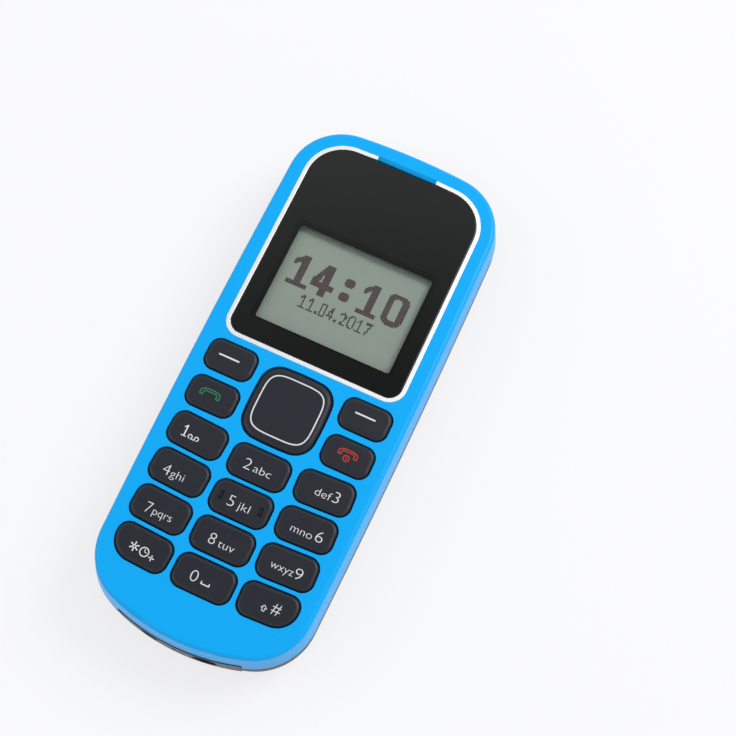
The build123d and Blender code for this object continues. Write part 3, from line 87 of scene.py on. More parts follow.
# Window in the lens print, and the rim of clear lens left round it, in mm
WINDOW_WIDTH = 28.22
WINDOW_HEIGHT = 21.0
WINDOW_Y = 19.44
WINDOW_RIM = 0.8
# A face whose normal rises less than this share stands upright
UPRIGHT = 0.35
# Height of a digit in Blender's own font, as a share of the font's size
DIGIT_SHARE = 0.729
# Camera fitted to the photograph by the corners of the keys and the lens: metres, degrees, mm and mm
CAMERA_PLACE = (0.040735, -0.078893, 0.282796)
CAMERA_TURN = (18.8956, -1.7603, 24.5017)
CAMERA_LENS = 73.076
CAMERA_SENSOR = 36.0
# The display's clock and date, in mm from the middle of the window
CLOCK_FOOT = -1.15
CLOCK_HEIGHT = 6.8
CLOCK_STROKE = 1.45
DATE_LEFT = -8.1
DATE_FOOT = -4.95
DATE_WIDTH = 15.6
DATE_HEIGHT = 2.8


# Sizes and colours that a user would change


class PhoneColours(bpy.types.PropertyGroup):
    cover: bpy.props.FloatVectorProperty(
        name="Front cover", description="Colour of the front cover", subtype="COLOR", default=linear("00B0FD")
    )
    shell: bpy.props.FloatVectorProperty(
        name="Shell", description="Colour of chassis and rear cover", subtype="COLOR", default=linear("1D1F23")
    )
    keys: bpy.props.FloatVectorProperty(
        name="Keys", description="Colour of the key caps", subtype="COLOR", default=linear("1A1E28")
    )
    mask: bpy.props.FloatVectorProperty(
        name="Lens print", description="Colour of the lens print", subtype="COLOR", default=linear("090B0B")
    )
    display: bpy.props.FloatVectorProperty(
        name="Display", description="Colour of the display at rest", subtype="COLOR", default=linear("9BA298")
    )
    dots: bpy.props.FloatVectorProperty(
        name="Display dots", description="Colour of switched dots", subtype="COLOR", default=linear("4A3436")
    )
    legend: bpy.props.FloatVectorProperty(
        name="Legends", description="Colour of the key legends", subtype="COLOR", default=linear("E6E7EA")
    )
    call: bpy.props.FloatVectorProperty(
        name="Call icon", description="Colour of the call icon", subtype="COLOR", default=linear("138052")
    )
    end: bpy.props.FloatVectorProperty(
        name="End icon", description="Colour of the end icon", subtype="COLOR", default=linear("C42E28")
    )
    floor: bpy.props.FloatVectorProperty(
        name="Floor", description="Colour of the studio floor", subtype="COLOR", default=linear("F4F4F6")
    )


class PhoneSizes(bpy.types.PropertyGroup):
    """Lengths are in mm."""

    digit: bpy.props.FloatProperty(name="Digit height", description="Of digits, in mm", default=2.3, min=0.5)
    letter: bpy.props.FloatProperty(name="Letter height", description="Of letters, in mm", default=1.6, min=0.3)
    film: bpy.props.FloatProperty(name="Print depth", description="Of the ink, in mm", default=0.012, min=0.001)
    line: bpy.props.FloatProperty(name="Line width", description="Of the icons, in mm", default=0.22, min=0.05)
    ring: bpy.props.FloatProperty(name="Ring width", description="Of the ring, in mm", default=12.1, min=1)
    ring_line: bpy.props.FloatProperty(name="Ring line", description="Its width, in mm", default=0.26, min=0.05)
    columns: bpy.props.IntProperty(name="Display columns", description="Dots across", default=96, min=8)
    rows: bpy.props.IntProperty(name="Display rows", description="Dots down", default=68, min=8)
    wire_pitch: bpy.props.FloatProperty(name="Mesh pitch", description="Of wires, in mm", default=0.4, min=0.1)
    wire: bpy.props.FloatProperty(name="Mesh wire", description="Its thickness, in mm", default=0.06, min=0.02)
    sky: bpy.props.FloatProperty(name="Sky", description="Strength of the all-round light", default=0.6, min=0)
    lamp: bpy.props.FloatProperty(
        name="Lamp power", description="Of the soft lamp", unit="POWER", default=2.6, min=0
    )


# Shaders


def add(tree, kind, sockets=None, **settings):
    """Adds a node with its settings. Inputs are set, or linked to a socket or to a node's first output."""
    node = tree.nodes.new(kind)
    for name, value in settings.items():
        setattr(node, name, value)
    for name, value in (sockets or {}).items():
        if isinstance(value, bpy.types.Node):
            value = value.outputs[0]
        if isinstance(value, bpy.types.NodeSocket):
            tree.links.new(value, node.inputs[name])
        else:
            node.inputs[name].default_value = value
    return node


def per_mm(size):
    """Texture scale at which a pattern repeats about every so many mm."""
    return 1 / (size * MM)


def colour_of(code):
    """Linear colour of an sRGB hex code, or of one of the colours that a user would change."""
    colours = bpy.context.scene.phone_colours
    return getattr(colours, code) if hasattr(colours, code) else linear(code)


def textured(tree, colour, shade, gloss, grain, relief, patch, more=None):
    """A skin with a fine relief and slow changes of tone and gloss. Shade is the share of its colour that is
    left in the darkest patches, gloss the lowest and highest roughness, and more holds other inputs of the
    shader. Grain, relief and patch are in mm."""
    place = add(tree, "ShaderNodeTexCoord").outputs["Object"]
    slow = add(tree, "ShaderNodeTexNoise", {"Vector": place, "Scale": per_mm(patch), "Detail": 3.0})
    fine = add(tree, "ShaderNodeTexNoise", {"Vector": place, "Scale": per_mm(grain), "Detail": 2.0})
    light = colour_of(colour)
    dark = [c * shade for c in light]
    tone = add(tree, "ShaderNodeMix", {0: slow, 6: (*light, 1), 7: (*dark, 1)}, data_type="RGBA")
    worn = add(tree, "ShaderNodeMapRange", {"Value": slow, "To Min": gloss[0], "To Max": gloss[1]})
    bump = add(tree, "ShaderNodeBump", {"Strength": 1.0, "Distance": relief * MM, "Height": fine})
    skin = {"Base Color": tone.outputs[2], "Roughness": worn, "Normal": bump, **(more or {})}
    return add(tree, "ShaderNodeBsdfPrincipled", skin)


def clear(tree, tint, ior, roughness, left=0.0):
    """A clear moulding: what is behind shows through, and its outer faces reflect more at a slant, less a
    share that is left to what lies behind."""
    facet = add(tree, "ShaderNodeNewGeometry").outputs
    front = add(tree, "ShaderNodeMath", {0: 1.0, 1: facet["Backfacing"]}, operation="SUBTRACT")
    fresnel = add(tree, "ShaderNodeFresnel", {"IOR": ior})
    more = add(tree, "ShaderNodeMath", {0: fresnel, 1: left}, operation="SUBTRACT", use_clamp=True)
    share = add(tree, "ShaderNodeMath", {0: more, 1: front}, operation="MULTIPLY")
    through = add(tree, "ShaderNodeBsdfTransparent", {"Color": (*tint, 1)})
    polish = add(tree, "ShaderNodeBsdfGlossy", {"Color": (1, 1, 1, 1), "Roughness": roughness})
    return add(tree, "ShaderNodeMixShader", {0: share, 1: through, 2: polish})


def acrylic_lens(tree):
    """Clear in the window, black on its upright faces, and one glossy black body with the print round the
    window.
    """
    window = clear(tree, (0.95, 0.97, 0.96), 1.4, 0.02, 0.09)
    facet = add(tree, "ShaderNodeNewGeometry").outputs
    # Faces that stand upright get a dull black shader, so the lens's edges are dark
    facing = add(tree, "ShaderNodeSeparateXYZ", {0: facet["Normal"]}).outputs["Z"]
    level = add(tree, "ShaderNodeMath", {0: facing}, operation="ABSOLUTE")
    upright = add(tree, "ShaderNodeMath", {0: level, 1: UPRIGHT}, operation="LESS_THAN")
    ink = add(tree, "ShaderNodeBsdfDiffuse", {"Color": (*linear("0A0B0D"), 1), "Roughness": 0.6})
    edged = add(tree, "ShaderNodeMixShader", {0: upright, 1: window, 2: ink})
    place = add(tree, "ShaderNodeTexCoord").outputs["Object"]
    centred = add(tree, "ShaderNodeVectorMath", {0: place, 1: (0, WINDOW_Y * MM, 0)}, operation="SUBTRACT")
    away = add(tree, "ShaderNodeVectorMath", {0: centred}, operation="ABSOLUTE")
    apart = add(tree, "ShaderNodeSeparateXYZ", {0: away}).outputs
    wide = (WINDOW_WIDTH / 2 + WINDOW_RIM) * MM
    tall = (WINDOW_HEIGHT / 2 + WINDOW_RIM) * MM
    beside = add(tree, "ShaderNodeMath", {0: apart["X"], 1: wide}, operation="GREATER_THAN")
    beyond = add(tree, "ShaderNodeMath", {0: apart["Y"], 1: tall}, operation="GREATER_THAN")
    outside = add(tree, "ShaderNodeMath", {0: beside, 1: beyond}, operation="MAXIMUM")
    # Only the upper face, met from outside, is black: the light of the print's own gloss passes it from below
    upper = add(tree, "ShaderNodeMath", {0: facing, 1: UPRIGHT}, operation="GREATER_THAN")
    over = add(tree, "ShaderNodeMath", {0: outside, 1: upper}, operation="MULTIPLY")
    printed = add(tree, "ShaderNodeMath", {0: over, 1: facet["Backfacing"]}, operation="GREATER_THAN")
    slow = add(tree, "ShaderNodeTexNoise", {"Vector": place, "Scale": per_mm(8.0)})
    worn = add(tree, "ShaderNodeMapRange", {"Value": slow, "To Min": 0.03, "To Max": 0.06})
    body = {"Base Color": (*colour_of("mask"), 1), "Roughness": worn, "Specular IOR Level": 0.4}
    black = add(tree, "ShaderNodeBsdfPrincipled", body)
    return add(tree, "ShaderNodeMixShader", {0: printed, 1: edged, 2: black})


def laminate_board(tree):
    """Solder mask whose copper tracks stand up below it as lighter lines."""
    place = add(tree, "ShaderNodeTexCoord").outputs["Object"]
    bend = add(tree, "ShaderNodeTexNoise", {"Vector": place, "Scale": per_mm(9.0), "Detail": 1.0})
    colours = {"Color1": "0E4A2C", "Color2": "10552F", "Mortar": "2C7A45"}
    sizes = {"Mortar Size": 0.12, "Mortar Smooth": 0.3, "Brick Width": 4.2, "Row Height": 0.7}
    rows = {"Vector": place, "Scale": per_mm(1.0), **sizes}
    rows.update({name: (*linear(code), 1) for name, code in colours.items()})
    tracks = add(tree, "ShaderNodeTexBrick", rows, offset=0.37, squash=0.6, squash_frequency=3)
    worn = add(tree, "ShaderNodeMapRange", {"Value": bend, "To Min": 0.22, "To Max": 0.34})
    bump = add(
        tree, "ShaderNodeBump", {"Strength": 1.0, "Distance": 0.02 * MM, "Height": tracks.outputs["Fac"]}
    )
    return add(tree, "ShaderNodeBsdfPrincipled", {"Base Color": tracks, "Roughness": worn, "Normal": bump})


def studio_board(tree):
    """Matt board. Camera and gloss see it mostly lit from behind: near white, with a pale shadow."""
    lit = textured(tree, "floor", 0.99, (0.85, 0.95), 1.5, 0.002, 60.0)
    path = add(tree, "ShaderNodeLightPath").outputs
    seen = {0: path["Is Camera Ray"], 1: path["Is Glossy Ray"]}
    straight = add(tree, "ShaderNodeMath", seen, operation="MAXIMUM")
    share = add(tree, "ShaderNodeMath", {0: straight, 1: 0.75}, operation="MULTIPLY")
    glow = add(tree, "ShaderNodeEmission", {"Color": (*linear("FDFDFF"), 1), "Strength": 1.0})
    both = add(tree, "ShaderNodeMixShader", {0: share, 1: lit, 2: glow})
    # From below the board is left out, so that the back shows
    under = add(tree, "ShaderNodeNewGeometry").outputs["Backfacing"]
    none = add(tree, "ShaderNodeBsdfTransparent")
    return add(tree, "ShaderNodeMixShader", {0: under, 1: both, 2: none})


# Finishes, each named for its material and how its surface was made. A slot of the CAD model takes the one
# under its own name. A row gives the material's name, the function of its shader, and what that takes.

METAL = {"Metallic": 1.0}
# Pad-printed ink: dense and slightly matt
PAD_PRINT = (0.93, (0.5, 0.6), 0.15, 0.002, 1.0)

FINISHES = {
    # Polycarbonate moulded in solid blue against a spark-eroded tool: an even satin colour with a soft sheen
    "blue_cover": (
        "moulded_polycarbonate_blue", textured, "cover", 0.95, (0.3, 0.38), 0.35, 0.003, 9.0,
        {"Specular IOR Level": 0.2},
    ),
    # Polycarbonate with ABS, moulded black with a leathery grain: broad grey highlights, faintly mottled
    "black_shell": ("moulded_pc_abs_black", textured, "shell", 0.8, (0.38, 0.5), 0.3, 0.008, 4.0),
    # Polycarbonate moulded against a polished tool: near black, with sharp reflections
    "black_gloss": (
        "polished_polycarbonate_black", textured, "0A1114", 0.8, (0.06, 0.12), 1.5, 0.002, 7.0,
        {"IOR": 1.58},
    ),
    # Polycarbonate key caps under a soft-touch coat: dark, slightly blue, with a wide soft sheen
    "key_silicone": (
        "soft_coated_polycarbonate_keys", textured, "keys", 0.86, (0.36, 0.46), 0.3, 0.004, 3.5,
        {"Specular IOR Level": 0.36},
    ),
    # Painted shade at the foot of the raised marks: a dull, nearly black film in place of their shade
    "painted_mark_shade": (
        "pooled_soft_coat", textured, "07080B", 0.9, (0.55, 0.65), 0.15, 0.002, 1.0,
        {"Specular IOR Level": 0.05},
    ),
    # Cast acrylic with a hard coat: clear as glass over the display, and deep glossy black over the print
    "lens_acrylic": ("hard_coated_acrylic", acrylic_lens),
    # Black ink, screen printed on the back of the polished lens: deep black with the clean gloss of the lens
    "mask_ink": (
        "screen_printed_black_ink", textured, "mask", 0.8, (0.03, 0.06), 3.0, 0.0003, 8.0,
        {"Specular IOR Level": 0.4},
    ),
    # ABS with a satin nickel plating: bright silver with a fine grain that softens its reflections
    "trim_metal": ("satin_nickel_plated_abs", textured, "F2F3F4", 0.95, (0.42, 0.52), 0.4, 0.002, 2.5, METAL),
    # Nitrile rubber, compression moulded: dull black with a dusty surface
    "rubber_black": ("moulded_nitrile_rubber", textured, "1C1C1D", 0.75, (0.75, 0.9), 0.3, 0.01, 2.0),
    # Die-cut polyurethane foam: grey, with cells that leave small dark pits
    "foam_grey": ("die_cut_polyurethane_foam", textured, "7A807F", 0.7, (0.9, 1.0), 0.3, 0.03, 0.8),
    # Compression-moulded silicone, milky: pale, soft and slightly translucent
    "mat_silicone": (
        "moulded_silicone_milky", textured, "D9DBDC", 0.9, (0.5, 0.62), 0.4, 0.006, 5.0,
        {"Subsurface Weight": 0.2, "Subsurface Scale": 0.001},
    ),
    # Glass-fibre laminate under green solder mask: satin green with the tracks as lighter lines
    "board_green": ("solder_masked_fibreglass", laminate_board),
    # Tin-plated steel, deep drawn: dull silver with cloudy patches
    "tin_sheet": ("tin_plated_steel_sheet", textured, "C3C5C6", 0.82, (0.3, 0.45), 0.5, 0.003, 1.8, METAL),
    # Transfer-moulded epoxy: charcoal, matt, with a fine sandy grain
    "chip_black": ("moulded_epoxy_charcoal", textured, "26282A", 0.85, (0.55, 0.65), 0.12, 0.006, 1.5),
    # Stainless spring sheet, rolled: cool grey with a soft shine
    "spring_steel": (
        "rolled_stainless_sheet", textured, "B9BBBD", 0.88, (0.25, 0.38), 0.4, 0.002, 1.0, METAL,
    ),
    # Reflective liquid-crystal cell with a satin polariser: greenish grey with a slight cloudiness
    "lcd_cell": (
        "reflective_lcd_polariser", textured, "display", 0.93, (0.3, 0.38), 0.6, 0.0005, 12.0,
        {"Coat Weight": 0.5, "Coat Roughness": 0.04},
    ),
    # Switched liquid crystal: brownish grey dots
    "lcd_dots": ("switched_liquid_crystal", textured, "dots", 0.85, (0.4, 0.45), 0.3, 0.001, 1.0),
    # Polycarbonate moulded in white, slightly glossy, to throw the light back
    "white_plastic": ("moulded_polycarbonate_white", textured, "E2E3E1", 0.95, (0.3, 0.4), 0.5, 0.003, 5.0),
    # Polyimide film over copper: amber and smooth, with darker patches
    "flex_film": ("polyimide_film_amber", textured, "B0671C", 0.7, (0.2, 0.3), 0.5, 0.004, 0.9),
    # Double-sided acrylic tape, die cut: off-white and dull
    "adhesive_white": ("die_cut_adhesive_tape", textured, "CFCDC4", 0.92, (0.6, 0.75), 0.4, 0.004, 3.0),
    # Pressed steel with a black oxide: dark grey metal with dull reflections
    "steel_dark": ("black_oxide_pressed_steel", textured, "55575A", 0.8, (0.35, 0.5), 0.3, 0.004, 1.5, METAL),
    # Nickel-plated steel, turned or drawn: bright, with slightly cloudy reflections
    "steel_bright": ("nickel_plated_steel", textured, "CFCFCC", 0.88, (0.16, 0.28), 0.3, 0.002, 1.2, METAL),
    # Pressed and sintered tungsten: mid-grey metal with a fine sandy grain
    "tungsten": ("sintered_tungsten", textured, "7F8183", 0.85, (0.42, 0.55), 0.15, 0.01, 1.0, METAL),
    # Aluminium can under a printed film, left plain: pale grey with a satin gloss and slight ripples
    "battery_can": ("film_wrapped_aluminium", textured, "B4B8BB", 0.93, (0.28, 0.36), 2.5, 0.01, 8.0),
    # Glass-filled nylon, moulded black: dull, with a finely rough skin
    "battery_plastic": ("glass_filled_nylon_black", textured, "1E1F21", 0.7, (0.5, 0.62), 0.2, 0.008, 0.7),
    # Punched ABS card, white: smooth with a low sheen
    "sim_plastic": ("punched_abs_card", textured, "E8E7E2", 0.96, (0.4, 0.48), 0.6, 0.002, 6.0),
    # Gold flashed over nickel: warm metal with a soft shine
    "gold_flash": ("gold_flashed_contact", textured, "D9B26A", 0.9, (0.2, 0.3), 0.3, 0.002, 0.8, METAL),
    # Polycarbonate light guide, polished: clear, and brighter at a slant
    "clear_guide": ("clear_polycarbonate_guide", clear, (0.95, 0.96, 0.97), 1.58, 0.04),
    # White reflector cup with yellow phosphor: pale yellow and soft
    "lamp_body": ("phosphor_filled_lamp", textured, "E9E2A8", 0.9, (0.4, 0.5), 0.3, 0.004, 0.8),
    # Rolled copper on a carrier film: orange-brown metal with faint mottling
    "copper_sheet": ("rolled_copper_sheet", textured, "C07A50", 0.85, (0.25, 0.38), 0.6, 0.003, 1.5, METAL),
    "white_ink": ("pad_printed_white_ink", textured, "legend", *PAD_PRINT),
    "green_ink": ("pad_printed_green_ink", textured, "call", *PAD_PRINT),
    "red_ink": ("pad_printed_red_ink", textured, "end", *PAD_PRINT),
    # Painted board of the studio: matt white
    "white_board": ("matt_white_board", studio_board),
}
made_finishes = {}


def finish_of(key):
    """The material of a finish, made once."""
    if key not in made_finishes:
        name, shader, *details = FINISHES[key]
        material = bpy.data.materials.new(name)
        material.use_nodes = True
        tree = material.node_tree
        tree.nodes.clear()
        add(tree, "ShaderNodeOutputMaterial", {"Surface": shader(tree, *details)})
        made_finishes[key] = material
    return made_finishes[key]


def dress(names, finish=None):
    """Gives CAD nodes the finish of their slots, or one that is named."""
    for name in names:
        for slot in NODES[name].material_slots:
            slot.material = finish_of(finish or slot.material.name.split(".")[0])


# Meshes. Outlines and flat parts are in mm, and finished meshes in metres.


def baked(holder):
    """The plain mesh that an object gives. The object is removed."""
    bpy.context.scene.collection.objects.link(holder)
    bpy.context.view_layer.update()
    made = bpy.data.meshes.new_from_object(holder.evaluated_get(bpy.context.evaluated_depsgraph_get()))
    bpy.data.objects.remove(holder)
    return made


def outlined(loops, depth):
    """A flat shape from its outlines, the second and later ones holes or islands, with a thickness."""
    curve = bpy.data.curves.new("outline", "CURVE")
    curve.dimensions = "2D"
    curve.fill_mode = "BOTH"
    curve.extrude = depth / 2
    for loop in loops:
        spline = curve.splines.new("POLY")
        spline.points.add(len(loop) - 1)
        for point, (x, y) in zip(spline.points, loop):
            point.co = (x, y, 0, 1)
        spline.use_cyclic_u = True
    return baked(bpy.data.objects.new("holder", curve))


def lettered(text, left, right, base, height, depth, weight):
    """Lettering from left to right on its base line. Height is that of a digit, or of the whole sign where it
    stands alone, and weight is what the strokes gain on each side."""
    font = bpy.data.curves.new("lettering", "FONT")
    font.body = text
    font.size = height / DIGIT_SHARE
    font.extrude = depth / 2
    font.offset = weight
    mesh = baked(bpy.data.objects.new("holder", font))
    across = [v.co.x for v in mesh.vertices]
    widen = (right - left) / (max(across) - min(across))
    stretch = 1.0
    if text == "#":
        up = [v.co.y for v in mesh.vertices]
        stretch = height / (max(up) - min(up))
        base -= min(up) * stretch
    place = Matrix.Translation((left - min(across) * widen, base, 0))
    mesh.transform(place @ Matrix.Diagonal((widen, stretch, 1, 1)))
    return mesh


def gathered(meshes):
    """The meshes together, to be worked on. They are removed."""
    whole = bmesh.new()
    for mesh in meshes:
        whole.from_mesh(mesh)
        bpy.data.meshes.remove(mesh)
    return whole


def released(whole, name):
    """The plain mesh of what was gathered."""
    made = bpy.data.meshes.new(name)
    whole.to_mesh(made)
    whole.free()
    return made


def assembled(meshes, height):
    """One mesh in metres from flat parts in mm, with its underside at a height in mm."""
    whole = gathered(meshes)
    bmesh.ops.remove_doubles(whole, verts=whole.verts, dist=0.0004)
    under = min(v.co.z for v in whole.verts)
    bmesh.ops.transform(whole, matrix=Matrix.Translation((0, 0, height - under)), verts=whole.verts)
    bmesh.ops.scale(whole, vec=(MM, MM, MM), verts=whole.verts)
    bmesh.ops.recalc_face_normals(whole, faces=whole.faces)
    return released(whole, "assembled")


def in_frame(mesh, x, y, z):
    """Moves a mesh made in mm round the origin to its place, in metres."""
    mesh.transform(Matrix.Scale(MM, 4) @ Matrix.Translation((x, y, z)))
    return mesh


def placed(name, mesh, material, body):
    """Shows a finished mesh as a named piece that rides on a body."""
    mesh.name = name
    mesh.materials.clear()
    mesh.materials.append(material)
    piece = bpy.data.objects.new(name, mesh)
    bpy.context.scene.collection.objects.link(piece)
    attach(piece, body)
    return piece


# Outlines of figures and icons, in mm


def circle(x, y, radius, count=28):
    """Points round a circle."""
    turn = 2 * math.pi / count
    return [(x + radius * math.cos(i * turn), y + radius * math.sin(i * turn)) for i in range(count)]


def bar(start, end, width):
    """Outline of a straight bar between two points."""
    first, last = Vector(start), Vector(end)
    along = (last - first).normalized() * (width / 2)
    side = Vector((-along.y, along.x))
    return [tuple(first - side), tuple(last - side), tuple(last + side), tuple(first + side)]


def rounded(x, y, width, height, radius, count=10):
    """Outline of a rounded rectangle round a middle point."""
    points = []
    for quarter, (sx, sy) in enumerate(((1, 1), (-1, 1), (-1, -1), (1, -1))):
        cx = x + sx * (width / 2 - radius)
        cy = y + sy * (height / 2 - radius)
        for i in range(count + 1):
            angle = math.pi / 2 * (quarter + i / count)
            points.append((cx + radius * math.cos(angle), cy + radius * math.sin(angle)))
    return points


def soft_square(x, y, width, height, power=4.2, count=120):
    """Outline of a square whose sides run into its corners on one smooth line."""
    points = []
    for i in range(count):
        cosine = math.cos(2 * math.pi * i / count)
        sine = math.sin(2 * math.pi * i / count)
        reach = (abs(cosine) ** power + abs(sine) ** power) ** (-1 / power)
        points.append((x + width / 2 * reach * cosine, y + height / 2 * reach * sine))
    return points


def drawn_in(loop, inset):
    """A closed outline moved inwards by an inset. The outline runs anticlockwise."""
    moved = []
    for i, (x, y) in enumerate(loop):
        back = (Vector((x, y)) - Vector(loop[i - 1])).normalized()
        ahead = (Vector(loop[(i + 1) % len(loop)]) - Vector((x, y))).normalized()
        inward = Vector((-back.y - ahead.y, back.x + ahead.x)).normalized()
        reach = inset / max(0.4, inward.dot(Vector((-ahead.y, ahead.x))))
        moved.append((x + inward.x * reach, y + inward.y * reach))
    return moved


def figure_one(left, right, base, height, stroke):
    """A figure one with a flag and a foot."""
    x = (left + right) / 2 + 0.04 * (right - left)
    s = stroke / 2
    foot = base + 0.65 * stroke
    top = base + height
    flag = left + 0.05 * (right - left)
    droop = top - 0.2 * height
    foot_side = [(left, base), (right, base), (right, foot), (x + s, foot)]
    flag_side = [(x + s, top), (x - 0.6 * s, top), (flag, droop), (flag, droop - 0.95 * stroke)]
    return foot_side + flag_side + [(x - s, top - 0.13 * height - 0.5 * stroke), (x - s, foot), (left, foot)]


def figure_four(left, right, base, height, stroke):
    """A figure four and its opening."""
    stem = right - 0.22 * (right - left)
    arm = base + 0.22 * height
    over = arm + 0.8 * stroke
    top = base + height
    shape = [(stem - stroke, base), (stem, base), (stem, arm), (right, arm), (right, over), (stem, over)]
    shape += [(stem, top), (stem - 1.15 * stroke, top), (left, arm + 0.95 * stroke), (left, arm)]
    shape.append((stem - stroke, arm))
    opening = [(stem - stroke, over), (stem - stroke, base + 0.78 * height), (left + 1.05 * stroke, over)]
    return [shape, opening]


def figure_nought(left, right, base, height, stroke, outside=0.36, inside=0.1):
    """A nought. The radius of its corners, outside and inside, is a share of its width."""
    x = (left + right) / 2
    y = base + height / 2
    width = right - left
    return [
        rounded(x, y, width, height, outside * width),
        rounded(x, y, width - 2 * stroke, height - 1.7 * stroke, inside * width),
    ]


def handset_icon(x, y, width, height, line):
    """A telephone handset in outline, its ends turned down."""
    under = [(-1, -1), (-0.62, -1), (-0.6, -0.1), (-0.5, 0.12), (0.5, 0.12), (0.6, -0.1), (0.62, -1), (1, -1)]
    over = [(1, 0.2), (0.86, 0.62), (0.5, 0.94), (0, 1), (-0.5, 0.94), (-0.86, 0.62), (-1, 0.2)]
    shape = [(x + width / 2 * px, y + height / 2 * py) for px, py in under + over]
    return [shape, drawn_in(shape, line)]


def power_icon(x, y, radius, line):
    """A ring with a short bar in it."""
    stroke = bar((x, y - 0.35 * radius), (x, y + 0.4 * radius), line)
    return [circle(x, y, radius), circle(x, y, radius - line), stroke]


def star_icon(x, y, radius, line):
    """The bars of a six-pointed star."""
    bars = []
    for turn in (90, 30, 150):
        reach = Vector((math.cos(math.radians(turn)), math.sin(math.radians(turn)))) * radius
        bars.append(bar((x - reach.x, y - reach.y), (x + reach.x, y + reach.y), line))
    return bars


def plus_icon(x, y, radius, line):
    """The bars of a plus sign."""
    return [bar((x - radius, y), (x + radius, y), line), bar((x, y - radius), (x, y + radius), line)]


def message_icon(left, right, low, high, line):
    """Two loops of tape, and the line that joins them along their underside."""
    radius = (high - low) / 2
    first = left + radius
    last = right - radius
    rings = [circle(x, low + radius, r) for x in (first, last) for r in (radius, radius - line)]
    return rings, bar((first, low + line / 2), (last, low + line / 2), line)


def clock_icon(x, y, radius, line):
    """A clock face, and its two hands."""
    hand = 0.8 * line
    up = bar((x, y - hand / 2), (x, y + 0.6 * radius), hand)
    across = bar((x - hand / 2, y), (x + 0.5 * radius, y), hand)
    return [circle(x, y, radius), circle(x, y, radius - line)], (up, across)


def space_icon(left, right, low, high, line):
    """An open tray, the mark of the space key."""
    outside = [(left, high), (left, low), (right, low), (right, high)]
    inside = [(right - line, high), (right - line, low + line)]
    inside += [(left + line, low + line), (left + line, high)]
    return [outside + inside]


def shift_icon(x, low, high, width, line):
    """An arrow that points up, in outline."""
    w = width / 2
    stem = 0.45 * w
    neck = low + 0.45 * (high - low)
    shape = [(x - stem, low), (x + stem, low), (x + stem, neck), (x + w, neck), (x, high), (x - w, neck)]
    shape.append((x - stem, neck))
    return [shape, drawn_in(shape, line)]


# Geometry Nodes trees


def new_tree(name, **inputs):
    """An empty tree with inputs named by type, its input node's sockets, and a function that ends it."""
    tree = bpy.data.node_groups.new(name, "GeometryNodeTree")
    tree.interface.new_socket("Geometry", in_out="INPUT", socket_type="NodeSocketGeometry")
    tree.interface.new_socket("Geometry", in_out="OUTPUT", socket_type="NodeSocketGeometry")
    for kind, titles in {**inputs, "Material": ["Material"]}.items():
        for title in titles:
            tree.interface.new_socket(title, in_out="INPUT", socket_type="NodeSocket" + kind)
    source = add(tree, "NodeGroupInput").outputs

    def end(geometry):
        real = add(tree, "GeometryNodeRealizeInstances", {"Geometry": geometry})
        coated = add(tree, "GeometryNodeSetMaterial", {"Geometry": real, "Material": source["Material"]})
        add(tree, "NodeGroupOutput", {"Geometry": coated})
        return tree

    return tree, source, end


def grown(tree, values, mesh=None):
    """The plain mesh that a tree gives for its inputs."""
    holder = bpy.data.objects.new("holder", mesh or bpy.data.meshes.new("holder"))
    modifier = holder.modifiers.new("nodes", "NODES")
    modifier.node_group = tree
    for item in tree.interface.items_tree:
        if item.in_out == "INPUT" and item.name in values:
            modifier[item.identifier] = values[item.name]
    made = baked(holder)
    if not made.polygons:
        raise RuntimeError(f"{tree.name} gave no faces")
    return made


def display_tree():
    """Dots of a display: one box on each point of the dot grid that lies over the given flat shape."""
    tree, source, end = new_tree(
        "display_dots", Int=("Columns", "Rows"), Float=("Pitch X", "Pitch Y", "Share", "Depth")
    )
    spans = []
    sides = []
    for count, pitch in (("Columns", "Pitch X"), ("Rows", "Pitch Y")):
        less = add(tree, "ShaderNodeMath", {0: source[count], 1: 1.0}, operation="SUBTRACT")
        spans.append(add(tree, "ShaderNodeMath", {0: less, 1: source[pitch]}, operation="MULTIPLY"))
        sides.append(add(tree, "ShaderNodeMath", {0: source[pitch], 1: source["Share"]}, operation="MULTIPLY"))
    counts = {"Vertices X": source["Columns"], "Vertices Y": source["Rows"]}
    grid = add(tree, "GeometryNodeMeshGrid", {"Size X": spans[0], "Size Y": spans[1], **counts})
    place = add(tree, "GeometryNodeInputPosition")
    above = add(tree, "ShaderNodeVectorMath", {0: place, 1: (0, 0, 1)}, operation="ADD")
    down = {"Source Position": above, "Ray Direction": (0, 0, -1), "Ray Length": 3.0}
    ray = add(tree, "GeometryNodeRaycast", {"Target Geometry": source["Geometry"], **down})
    beside = add(tree, "FunctionNodeBooleanMath", {0: ray.outputs["Is Hit"]}, operation="NOT")
    kept = add(tree, "GeometryNodeDeleteGeometry", {"Geometry": grid, "Selection": beside})
    size = add(tree, "ShaderNodeCombineXYZ", {"X": sides[0], "Y": sides[1], "Z": source["Depth"]})
    dot = add(tree, "GeometryNodeMeshCube", {"Size": size})
    return end(add(tree, "GeometryNodeInstanceOnPoints", {"Points": kept, "Instance": dot}))


